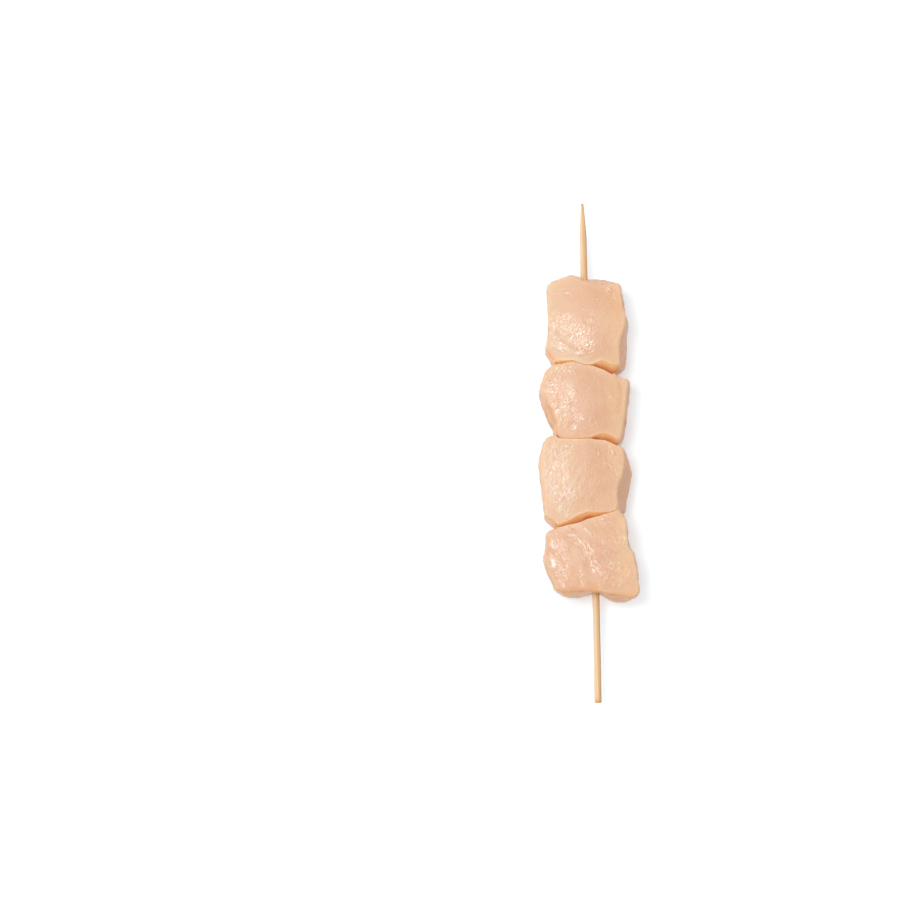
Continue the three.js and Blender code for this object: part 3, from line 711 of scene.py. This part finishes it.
def chunkPoints(chunk, middle, rimAt):
    n = surface["cells"]
    t = 2 * np.arange(n + 1) / n - 1
    crowd = t * (1 + surface["crowding"] * (1 - t * t))
    across = (rimAt(0.0)[0] + rimAt(np.pi)[0]) / 2
    lengthwise = (rimAt(np.pi / 2)[0] + rimAt(-np.pi / 2)[0]) / 2
    centre = np.array([*middle, chunk["height"] * surface["middleHeight"]])
    edge = np.array(
        [(i, 0) for i in range(n)] + [(n, j) for j in range(n)]
        + [(i, n) for i in range(n, 0, -1)] + [(0, j) for j in range(n, 0, -1)]
    )
    levels = 1 - 2 * np.arange(1, surface["sideRings"] + 1) / surface["sideRings"]
    spreads = np.linspace(1, surface["baseSpread"], surface["baseRings"] + 1)[1:]
    rings = [(1, level) for level in levels] + [(spread, -1) for spread in spreads]
    grid = np.stack(np.meshgrid(crowd, crowd), axis=-1).reshape(-1, 2)
    plan = [np.column_stack([grid, np.ones(len(grid))])]
    for spread, level in rings:
        plan.append(np.column_stack([spread * crowd[edge], np.full(len(edge), level)]))
    plan = np.vstack(plan)
    rise = np.where(plan[:, 2] > 0, chunk["height"] - centre[2], centre[2]) * plan[:, 2]
    ray = np.column_stack([plan[:, 0] * across, plan[:, 1] * lengthwise, rise])
    ray /= np.linalg.norm(ray, axis=1, keepdims=True)
    rim = rimAt(np.arctan2(ray[:, 1], ray[:, 0]))
    inner = np.zeros(len(ray))
    outer = np.full(len(ray), float(surface["reach"]))
    for _ in range(surface["halvings"]):
        half = (inner + outer) / 2
        past = outside(chunk, middle, rim, *(centre + ray * half[:, None]).T) > 0
        outer = np.where(past, half, outer)
        inner = np.where(past, inner, half)
    points = centre + ray * ((inner + outer) / 2)[:, None]
    points[np.abs(points[:, 2]) < surface["flatWithin"], 2] = 0

    corner = np.arange(n)
    low = (corner[:, None] * (n + 1) + corner[None, :]).ravel()
    quads = [np.column_stack([low, low + 1, low + n + 2, low + n + 1])]
    ringAt = [edge[:, 1] * (n + 1) + edge[:, 0]]
    for ring in range(len(rings)):
        ringAt.append((n + 1) ** 2 + ring * len(edge) + np.arange(len(edge)))
    for upper, lower in zip(ringAt, ringAt[1:]):
        quads.append(np.column_stack([lower, np.roll(lower, -1), np.roll(upper, -1), upper]))
    return points, np.vstack(quads), ringAt[-1]


def normalsOf(points, quads):
    diagonals = np.cross(points[quads[:, 2]] - points[quads[:, 0]], points[quads[:, 3]] - points[quads[:, 1]])
    normals = np.zeros_like(points)
    for corner in range(4):
        np.add.at(normals, quads[:, corner], diagonals)
    return normals / (np.linalg.norm(normals, axis=1, keepdims=True) + 1e-12)


def rodMesh(rings, sides, depthAt=None):
    # closed rod along the stick's line, from rings of y and radius
    turn = 2 * np.pi * np.arange(sides) / sides
    points = []
    for y, radius in rings:
        ring = radius - (depthAt(turn, y, radius) if depthAt else np.zeros(sides))
        points.append(np.column_stack([
            courseX(y) + ring * np.cos(turn), np.full(sides, float(y)), axisHeight + ring * np.sin(turn),
        ]))
    faces = []
    last = (len(rings) - 1) * sides
    for first in range(0, last, sides):
        for side in range(sides):
            a, b = first + side, first + (side + 1) % sides
            faces.append((a, a + sides, b + sides, b))
    faces += [tuple(range(sides)), tuple(range(last + sides - 1, last - 1, -1))]
    return np.vstack(points), faces


bore = {
    "slack": 0.06,  # between the stick and the meat that grips it
    "overrun": 4,
    "rings": 24,
    "sides": 48,
    "sharpAngle": 62,
}


def boreThrough(obj, low, high):
    ys = np.linspace(low - bore["overrun"], high + bore["overrun"], bore["rings"])
    rings = [(y, stick["radius"] + bore["slack"]) for y in ys]
    cutter = makeObject("boreCutter", *rodMesh(rings, bore["sides"]))
    cut = obj.modifiers.new("bore", "BOOLEAN")
    cut.operation = "DIFFERENCE"
    cut.solver = "MANIFOLD"
    cut.object = cutter
    bpy.context.view_layer.update()
    evaluated = obj.evaluated_get(bpy.context.evaluated_depsgraph_get())
    bored = bpy.data.meshes.new_from_object(evaluated)
    obj.modifiers.clear()
    obj.data = bored
    bored.name = obj.name
    bpy.data.objects.remove(cutter)
    bored.shade_smooth()
    bored.set_sharp_from_angle(angle=math.radians(bore["sharpAngle"]))


pucker = {  # the meat is drawn in round the stick
    "depth": 0.45,
    "width": 1.7,
    "core": 0.8,
    "reach": 6,
    "waves": 7,
    "swing": 0.25,
}


def makeChunk(chunk):
    middle, rimAt = rimOf(chunk)
    points, quads, lastRing = chunkPoints(chunk, middle, rimAt)
    baseMiddle = len(points)
    points = np.vstack([points, [[*middle, 0]]])
    normals = normalsOf(points, quads)
    onTop = smooth(*relief["topFacing"], normals[:, 2])
    height, _ = fineRelief(points, chunk, onTop)
    height += filmStrokes(points, chunk, onTop)
    side, walls, top = formAt(chunk, middle, rimAt, points)
    closed = smooth(*relief["closedFrom"], walls - np.maximum(side, top))
    height *= smooth(*relief["fadeUp"], points[:, 2]) * (1 - closed)
    fromStick = np.hypot(points[:, 0] - courseX(points[:, 1]), points[:, 2] - axisHeight)
    around = np.arctan2(points[:, 2] - axisHeight, points[:, 0])
    waves = 1 + pucker["swing"] * np.sin(pucker["waves"] * around + chunk["seed"])
    fall = np.exp(-(fromStick / pucker["width"] - pucker["core"]).clip(0) ** 2)
    height -= pucker["depth"] * waves * fall * (fromStick < pucker["reach"])
    points = points + normals * height[:, None]
    points[:, 2] = np.maximum(points[:, 2], 0)
    pairs = zip(lastRing.tolist(), np.roll(lastRing, -1).tolist())
    faces = quads.tolist() + [(b, a, baseMiddle) for a, b in pairs]
    obj = makeObject("meat_" + chunk["name"], points, faces)
    boreThrough(obj, points[:, 1].min(), points[:, 1].max())
    paintMasks(obj, chunk, middle, rimAt)
    return obj


# Where the tints lie, in mm: across from left to right, up from the base, or down from the top.
paint = {
    "topFrom": (-1.2, 0.4),
    "steepFrom": (0.1, -0.7),
    # painted glow along the top edges, where light shines through the thin meat
    "edgeGlowWidth": 1.8,
    "edgeGlowUp": (6, 14),
    "pressedFrom": (-0.6, 0.4),
    "pressedLeft": (-4.5, -1),  # beside the part of a seam that touches
    "pressedRight": (6, 2.5),
    # painted shade deepening down a seam
    "creaseShadeDown": (0.3, 2.6),
    "creaseShadeShare": 0.65,
    # painted shade on the free sides towards the right, away from the light, fainter low down
    "flankAcross": (-8, 4),
    "flankUp": (3, 12),
    "flankLeast": 0.35,
    # painted shade on the left walls just under the top, in a warm orange
    "shadedRimAcross": (4, -8),
    "shadedRimDown": (4.5, 0.8),
    # painted sheen: across the top, paler towards the left where the light falls on it
    "sheenAcross": (6, -16),
    "tanAcross": (4, 13),
    # painted shadow just under an overhanging top edge
    "browShadowDown": 0.6,
    "browShadowWidth": 1.1,
    # whiter crests of the film's creases: the film's own paler colour and painted glints
    "glintCrestFrom": (0.4, 1.1),  # in heights of the tallest crease
    "punctureWidth": 1.6,
}


def paintMasks(obj, chunk, middle, rimAt):
    points = pointsOf(obj)
    x, y, z = points.T
    side, walls, top = formAt(chunk, middle, rimAt, points)
    pastSides = top - np.maximum(side, walls)
    onTop = smooth(*paint["topFrom"], pastSides)
    steep = smooth(*paint["steepFrom"], pastSides)
    left, right = meat["touching"]
    pressed = (
        smooth(*paint["pressedFrom"], walls - np.maximum(side, top))
        * smooth(*paint["pressedLeft"], x - left) * smooth(*paint["pressedRight"], x - right)
    )
    freeSide = steep * (1 - pressed)

    def patches(name):
        return patchShare(x, y, chunk.get(name, []))

    # painted shade: the seam's faces darken further down, where less light reaches
    seamShade = paint["creaseShadeShare"] * smooth(*paint["creaseShadeDown"], -top)
    lowShadedFlank = atLeast(paint["flankLeast"], smooth(*paint["flankUp"], z))
    # painted shade under the left edges
    shadeUnderTop = smooth(*paint["shadedRimDown"], -top) * chunk.get("shadedRimShare", 1)
    # painted sheen and light: the top is paler towards its left, where the light from the left shines on it,
    # and the light patches paint light
    pale = np.maximum(chunk.get("sheenShare", 1) * smooth(*paint["sheenAcross"], x), patches("light"))
    # painted shadow: a dark line just under the top's edge, where it overhangs
    browShadow = np.exp(-((-top - paint["browShadowDown"]) / paint["browShadowWidth"]) ** 2) * steep
    # the film's creases, whose crests carry the film's paler colour and painted glints
    creases = filmStrokes(points, chunk, onTop) / film["height"][1]
    fromStick = np.hypot(x - courseX(y), z - axisHeight) - stick["radius"]
    setMasks(obj, {
        "wet": fineRelief(points, chunk, onTop)[1],
        # painted glow: the top edges are lighter, for light shining through the thin meat there
        "edge": np.exp(-(pastSides / paint["edgeGlowWidth"]) ** 2) * smooth(*paint["edgeGlowUp"], z),
        "pressed": pressed,
        # painted shade down the seams and at the core patches
        "creaseShade": pressed * np.maximum(seamShade, patches("core")),
        # painted shade on the sides facing right, away from the light
        "flank": freeSide * smooth(*paint["flankAcross"], x) * lowShadedFlank,
        # painted shade on the left walls under the top's edge
        "rim": freeSide * smooth(*paint["shadedRimAcross"], x) * shadeUnderTop,
        "pale": pale * onTop,
        "browShadow": browShadow * patches("browShadow"),
        "ridge": smooth(*paint["glintCrestFrom"], creases),
        "tan": chunk.get("tanShare", 1) * smooth(*paint["tanAcross"], x) * onTop,
        "blush": patches("blush"),
        "pearl": patches("pearl") * steep,
        "seep": patches("seep"),
        "steep": steep,
        "puncture": np.exp(-(fromStick.clip(0) / paint["punctureWidth"]) ** 2),
    })


class Nodes:
    # makes and joins the shader nodes of a material or the world
    def __init__(self, owner, shader="Principled BSDF", place="Object"):
        owner.use_nodes = True
        self.owner = owner
        self.tree = owner.node_tree
        self.shader = self.tree.nodes[shader]
        self.place = self.add("ShaderNodeTexCoord").outputs[place]

    def add(self, kind, inputs=(), **settings):
        made = self.tree.nodes.new(kind)
        for key, value in settings.items():
            setattr(made, key, value)
        for key, value in dict(inputs).items():
            self.feed(made.inputs[key], value)
        return made

    def feed(self, socket, value):
        if isinstance(value, bpy.types.NodeSocket):
            self.tree.links.new(value, socket)
        else:
            socket.default_value = value

    def mask(self, name):
        return self.add("ShaderNodeAttribute", attribute_name=name).outputs["Fac"]

    def stretched(self, size, turn=(0, 0, 0)):
        inputs = {"Vector": self.place, "Rotation": turn, "Scale": [1 / (s * mm) for s in size]}
        return self.add("ShaderNodeMapping", inputs).outputs["Vector"]

    def noise(self, where, detail, roughness, distortion=0):
        inputs = {"Vector": where, "Scale": 1, "Detail": detail, "Roughness": roughness,
                  "Distortion": distortion}
        return self.add("ShaderNodeTexNoise", inputs).outputs["Fac"]

    def spread(self, value, low, high, toLow=0, toHigh=1):
        inputs = {"Value": value, "From Min": low, "From Max": high, "To Min": toLow, "To Max": toHigh}
        return self.add("ShaderNodeMapRange", inputs, interpolation_type="SMOOTHSTEP").outputs["Result"]

    def math(self, operation, a, b):
        return self.add("ShaderNodeMath", {0: a, 1: b}, operation=operation).outputs["Value"]

    def layered(self, colour, layers, noises, colours):
        # a layer has the colour laid on, a share or a noise's levels, and the masks and noise it follows
        for over, share, *names in layers:
            if names and names[-1] in noises:
                share = self.spread(noises[names.pop()], *share)
            for name in names:
                share = self.math("MULTIPLY", self.mask(name), share)
            made = self.add("ShaderNodeMix", {0: share, 6: colour, 7: colours[over]}, data_type="RGBA")
            colour = made.outputs[2]
        return colour

    def bump(self, height, distance, strength, normal=None):
        inputs = {"Height": height, "Distance": distance * mm, "Strength": strength}
        if normal is not None:
            inputs["Normal"] = normal
        return self.add("ShaderNodeBump", inputs).outputs["Normal"]

    def finish(self, looks):
        for socket, value in looks.items():
            self.feed(self.shader.inputs[socket], value)
        return self.owner


flesh = {
    "pale": (0.718, 0.437, 0.265, 1),
    "pink": (0.705, 0.407, 0.257, 1),
    "yellow": (0.785, 0.582, 0.395, 1),
    "film": (0.78, 0.535, 0.37, 1),
    # the film's paler colour on the crests of its creases, and painted glints there
    "ridge": (0.85, 0.67, 0.54, 1),
    "pore": (0.69, 0.34, 0.18, 1),
    # painted glow of the seams: the light the meat scatters into them
    "seamGlow": (0.87, 0.53, 0.25, 1),
    # painted shade in the seams and under edges
    "deepShade": (0.72, 0.26, 0.10, 1),
    # painted shade colours of the sides facing right, and their darker fibre lines
    "flank": (0.74, 0.355, 0.18, 1),
    "flankLine": (0.66, 0.265, 0.125, 1),
    "tan": (0.82, 0.55, 0.335, 1),
    # painted shade of the left walls under the top, in a warm orange
    "rim": (0.80, 0.43, 0.19, 1),
    "blush": (0.66, 0.33, 0.17, 1),
    "pearl": (0.74, 0.42, 0.25, 1),
    "seep": (0.72, 0.36, 0.11, 1),
    "noises": {  # size in mm, whether it follows the grain, detail, roughness and distortion
        "broad": ((11, 11, 11), False, 3, 0.6, 0.6),
        "blotch": ((5, 5, 5), False, 4, 0.55, 1.2),
        "fibre": ((9, 0.9, 1.4), True, 4, 0.6, 0.4),
        "fine": ((0.5, 0.5, 0.5), False, 2, 0.5, 0),
        "speckle": ((0.9, 0.5, 0.6), True, 3, 0.65, 0.5),
        "ripple": ((1.6, 0.5, 0.7), True, 2, 0.55, 0.8),
    },
    "flankLayers": [("flankLine", (0.45, 0.75, 0, 0.6), "fibre")],
    "layers": [
        ("pink", (0.34, 0.66), "broad"),
        ("yellow", (0.5, 0.72, 0, 0.12), "blotch"),
        ("film", (0.52, 0.75, 0, 0.2), "fibre"),
        # painted sheen on the left of the tops, and painted light in the light patches
        ("yellow", 0.55, "pale"),
        ("tan", 0.6, "tan"),
        # painted glow along the top edges
        ("yellow", 0.45, "edge"),
        ("pore", 0.4, "wet"),
        # whiter crests: the film's paler colour and painted glints
        ("ridge", 0.5, "ridge"),
        # painted shade on the sides facing right
        ("side", 0.85, "flank"),
        # painted shade on the left walls under the top
        ("rim", 0.8, "rim"),
        ("blush", 0.8, "blush"),
        ("pearl", 1, "pearl"),
        ("film", (0.5, 0.68, 0, 0.45), "steep", "fibre"),
        ("pore", (0.47, 0.3, 0, 0.6), "steep", "fibre"),
        ("ridge", (0.52, 0.75, 0, 0.28), "speckle"),
        ("pore", (0.48, 0.25, 0, 0.3), "speckle"),
        # painted glow: faces pressed together in a seam are lighter and warmer, for the light the meat
        # scatters into the seam
        ("seamGlow", 0.9, "pressed"),
        # painted shadow under an overhanging edge
        ("deepShade", 1, "browShadow"),
        # painted shade down the seams
        ("deepShade", 1, "creaseShade"),
        ("seep", 0.8, "puncture"),
        ("seep", 0.8, "seep"),
    ],
    "finish": {
        "Subsurface Weight": 0.75,
        "Subsurface Radius": (1.0, 0.5, 0.28),
        "Subsurface Scale": 1.2 * mm,  # how far light travels inside
        "IOR": 1.45,
        "Specular Tint": (0.5, 0.85, 1, 1),
        "Coat Roughness": 0.17,
        "Coat IOR": 1.6,
    },
    "roughness": (0, 1, 0.42, 0.18),  # from dry to wet
    "dampByWet": 0.8,
    "dampByFine": (0.4, 0.7, 0, 0.2),
    "coatByDamp": (0.1, 0.75, 0.05, 0.6),
    "coatOnSides": 0.3,
    "fineBump": (0.05, 0.7),
    "rippleBump": 0.06,
    "rippleByWet": (0, 0.8, 0.6, 1),
}


def fleshMaterial(chunk):
    n = Nodes(bpy.data.materials.new("raw_flesh_" + chunk["name"][-1]))
    moved = {0: n.place, 1: (chunk["seed"],) * 3}
    n.place = n.add("ShaderNodeVectorMath", moved, operation="ADD").outputs["Vector"]
    noises = {}
    for name, (size, follows, *looks) in flesh["noises"].items():
        turn = (0, 0, -chunk["grain"]) if follows else (0, 0, 0)
        noises[name] = n.noise(n.stretched(size, turn), *looks)
    # side is the painted shade colour of the sides facing right, streaked with darker fibre lines
    colours = dict(flesh, side=n.layered(flesh["flank"], flesh["flankLayers"], noises, flesh))
    wet = n.mask("wet")
    speckled = n.spread(noises["fine"], *flesh["dampByFine"])
    damp = n.math("ADD", n.math("MULTIPLY", wet, flesh["dampByWet"]), speckled)
    sideCoat = n.spread(n.mask("steep"), 0, 1, 1, flesh["coatOnSides"])
    rough = n.bump(noises["fine"], *flesh["fineBump"])
    normal = n.bump(noises["ripple"], flesh["rippleBump"], n.spread(wet, *flesh["rippleByWet"]), rough)
    return n.finish({
        **flesh["finish"],
        "Base Color": n.layered(flesh["pale"], flesh["layers"], noises, colours),
        "Roughness": n.spread(damp, *flesh["roughness"]),
        "Coat Weight": n.math("MULTIPLY", n.spread(damp, *flesh["coatByDamp"]), sideCoat),
        "Normal": normal,
        "Coat Normal": normal,
    })


bamboo = {
    "light": (0.77, 0.59, 0.39, 1),
    "mid": (0.69, 0.46, 0.235, 1),
    "orange": (0.72, 0.37, 0.10, 1),
    "brown": (0.54, 0.26, 0.095, 1),
    "noises": {  # size in mm, detail and roughness
        "fibres": ((0.17, 30, 0.17), 4, 0.65),
        "bands": ((0.8, 90, 0.8), 2, 0.5),
        "specks": ((0.16, 3.5, 0.16), 2, 0.5),
    },
    "layers": [
        ("light", (0.35, 0.65), "bands"),
        ("light", (0.45, 0.7, 0, 0.5), "fibres"),
        # painted light on the stick's left side, which faces the light
        ("light", 0.9, "litSide"),
        ("orange", (0.3, 0.65, 0.6, 1), "stripe", "fibres"),
        # brown on the right side: the bamboo's skin and painted shade, away from the light
        ("brown", (0.3, 0.6, 0.6, 0.9), "skin", "bands"),
        ("brown", (0.62, 0.76, 0, 0.5), "specks"),
        ("orange", 0.3, "soaked"),
        ("brown", 0.5, "cut"),
    ],
    "finish": {
        "Subsurface Weight": 0.25,
        "Subsurface Radius": (1, 0.6, 0.3),
        "Subsurface Scale": 0.4 * mm,
    },
    "nearPoint": (40, 12),  # mm from the point, where the stripes are strongest
    "stripeAt": 0.38,  # places round the stick: 1 on its right side, -1 on its left
    "stripeShift": 0.3,
    "stripeWidth": 0.2,
    "stripeFar": 0.55,  # strength away from the point
    # the skin's brown and painted shade, on the right side
    "skinAndShadeFrom": (0.6, 0.74),
    # painted light on the left side, strongest near the point
    "litSideFrom": (-0.15, -0.55),
    "litSideFar": 0.1,
    "cutEnd": (1.3, 0.8),
    "cutPoint": (1.6, 0.8),
    "soakedEnd": (3, 2.2),
    "roughness": (0.3, 0.7, 0.62, 0.42),
    "bump": (0.04, 0.7),
}


def bambooMaterial():
    n = Nodes(bpy.data.materials.new("bamboo_fibre"))
    noises = {name: n.noise(n.stretched(size), *looks) for name, (size, *looks) in bamboo["noises"].items()}
    return n.finish({
        **bamboo["finish"],
        "Base Color": n.layered(bamboo["mid"], bamboo["layers"], noises, bamboo),
        "Roughness": n.spread(noises["fibres"], *bamboo["roughness"]),
        "Normal": n.bump(noises["fibres"], *bamboo["bump"]),
    })


def makeStick():
    full, fine = stick["radius"], stick["pointRadius"]
    shoulder = stick["length"] - stick["pointLength"]
    rings = [(y, full - inwards) for y, inwards in stick["endSteps"]]
    rings += [(y, full) for y in np.linspace(rings[-1][0], shoulder, stick["shaftRings"])[1:-1]]
    for t in np.linspace(0, 1, stick["pointRings"]):
        taper = (1 - t) ** stick["pointFullness"]
        rings.append((shoulder + t * stick["pointLength"], fine + (full - fine) * taper))

    def fibreDepth(turn, y, radius):
        k = stick["fibresRound"] / 2
        lengthwise = np.full(len(turn), y / stick["fibreLength"])
        at = np.column_stack([k * np.cos(turn), k * np.sin(turn), lengthwise])
        share, scale, offset = stick["fineFibres"]
        depth = 0.5 + 0.5 * noise(at) + share * noise(at * scale + offset)
        return stick["fibreDepth"] * depth * radius / full

    obj = makeObject("bamboo_skewer", *rodMesh(rings, stick["sides"], fibreDepth))
    obj.data.set_sharp_from_angle(angle=math.radians(stick["sharpAngle"]))
    x, y, z = pointsOf(obj).T
    facing = np.cos(np.arctan2(z - axisHeight, x - courseX(y)))
    fromPoint = stick["length"] - y
    near = smooth(*bamboo["nearPoint"], fromPoint)
    offStripe = (facing - bamboo["stripeAt"] + bamboo["stripeShift"] * near) / bamboo["stripeWidth"]
    setMasks(obj, {
        "stripe": np.exp(-offStripe ** 2) * atLeast(bamboo["stripeFar"], near),
        # the bamboo's skin and painted shade on the right side
        "skin": smooth(*bamboo["skinAndShadeFrom"], facing),
        # painted light on the left side
        "litSide": smooth(*bamboo["litSideFrom"], facing) * atLeast(bamboo["litSideFar"], near),
        "cut": smooth(*bamboo["cutEnd"], y) + smooth(*bamboo["cutPoint"], fromPoint),
        "soaked": smooth(*bamboo["soakedEnd"], y),
    })
    return obj


for chunk in chunks:
    piece = makeChunk(chunk)
    piece.data.materials.clear()
    piece.data.materials.append(fleshMaterial(chunk))
    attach(piece, "root")
    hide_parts(chunk["name"])
    print(piece.name, "made with", len(piece.data.polygons), "faces")

skewer = makeStick()
skewer.data.materials.append(bambooMaterial())
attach(skewer, "root")
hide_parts("bamboo_stick")
print(skewer.name, "made with", len(skewer.data.polygons), "faces")

studio = {
    "floorSize": 3.0,
    "floorDrop": 0.00005,
    "floorFinish": {  # a lit white table
        "Base Color": (0.665, 0.72, 0.765, 1),
        "Roughness": 0.7,
        "Emission Color": (1, 1, 1, 1),
        "Emission Strength": 0.37,
        "Specular IOR Level": 0.2,
    },
    "domeLow": 0.2,  # brightness of the dark side of the dome
    "domeHigh": 1.13,
    "domeTowards": (-0.42, 0.18, 0.89),  # its bright side
    "domeDarkFrom": -0.3,
    "key": 0.36,  # the lamp's brightness on a level surface
    "keyTilt": 12.5,  # degrees off the vertical
    "keyHeading": 168,  # degrees from +X
    "keyDistance": 1.5,
    "keyAngle": 16,  # degrees across, from the kebab
}


def makeStudio():
    half = studio["floorSize"] / 2
    mesh = bpy.data.meshes.new("floor")
    corners = [(-half, -half), (half, -half), (half, half), (-half, half)]
    mesh.from_pydata([(x, y, -studio["floorDrop"]) for x, y in corners], [], [(0, 1, 2, 3)])
    mesh.materials.append(Nodes(bpy.data.materials.new("white_table")).finish(studio["floorFinish"]))
    floor = linked("floor", mesh)

    sky = Nodes(bpy.data.worlds.new("soft_dome"), "Background", "Generated")
    towardsLight = {0: sky.place, 1: studio["domeTowards"]}
    facing = sky.add("ShaderNodeVectorMath", towardsLight, operation="DOT_PRODUCT").outputs["Value"]
    inputs = {"Value": facing, "From Min": studio["domeDarkFrom"], "To Min": studio["domeLow"],
              "To Max": studio["domeHigh"]}
    level = sky.add("ShaderNodeMapRange", inputs).outputs["Result"]
    bpy.context.scene.world = sky.finish({"Color": (1, 1, 1, 1), "Strength": level})

    lamp = bpy.data.lights.new("key_lamp", "AREA")
    lamp.shape = "DISK"
    distance = studio["keyDistance"]
    lamp.size = 2 * distance * math.tan(math.radians(studio["keyAngle"] / 2))
    lamp.energy = studio["key"] * math.pi ** 2 * distance ** 2
    key = linked("key_lamp", lamp)
    tilt, heading = math.radians(studio["keyTilt"]), math.radians(studio["keyHeading"])
    aside = math.sin(tilt)
    towards = Vector((aside * math.cos(heading), aside * math.sin(heading), math.cos(tilt)))
    key.location = towards * distance
    key.rotation_mode = "QUATERNION"
    key.rotation_quaternion = towards.to_track_quat("Z", "Y")


shot = {
    "azimuth": 0,
    "elevation": 83,
    "distance": 2.0,
    "target": (-0.05416, 0.00231, 0.0125),
    "roll": -1.6286,
    "lens": 201.2,
    "sensor": 36,
    "clip": (0.05, 50),
}


def makeCamera():
    data = bpy.data.cameras.new("camera")
    data.lens = shot["lens"]
    data.sensor_width = shot["sensor"]
    data.clip_start, data.clip_end = shot["clip"]
    cam = linked("camera", data)
    azimuth, elevation, roll = (math.radians(shot[key]) for key in ("azimuth", "elevation", "roll"))
    back = Vector((
        math.sin(azimuth) * math.cos(elevation),
        -math.cos(azimuth) * math.cos(elevation),
        math.sin(elevation),
    ))
    level = Vector((0, 1, 0)).cross(back).normalized()
    upright = back.cross(level)
    right, up = turned(level, upright, roll)
    cam.matrix_world = Matrix.Translation(Vector(shot["target"]) + back * shot["distance"]) @ Matrix(
        (right, up, back)).transposed().to_4x4()
    bpy.context.scene.camera = cam


makeStudio()
makeCamera()
bpy.context.scene.view_settings.view_transform = "Standard"
print("studio and camera set")
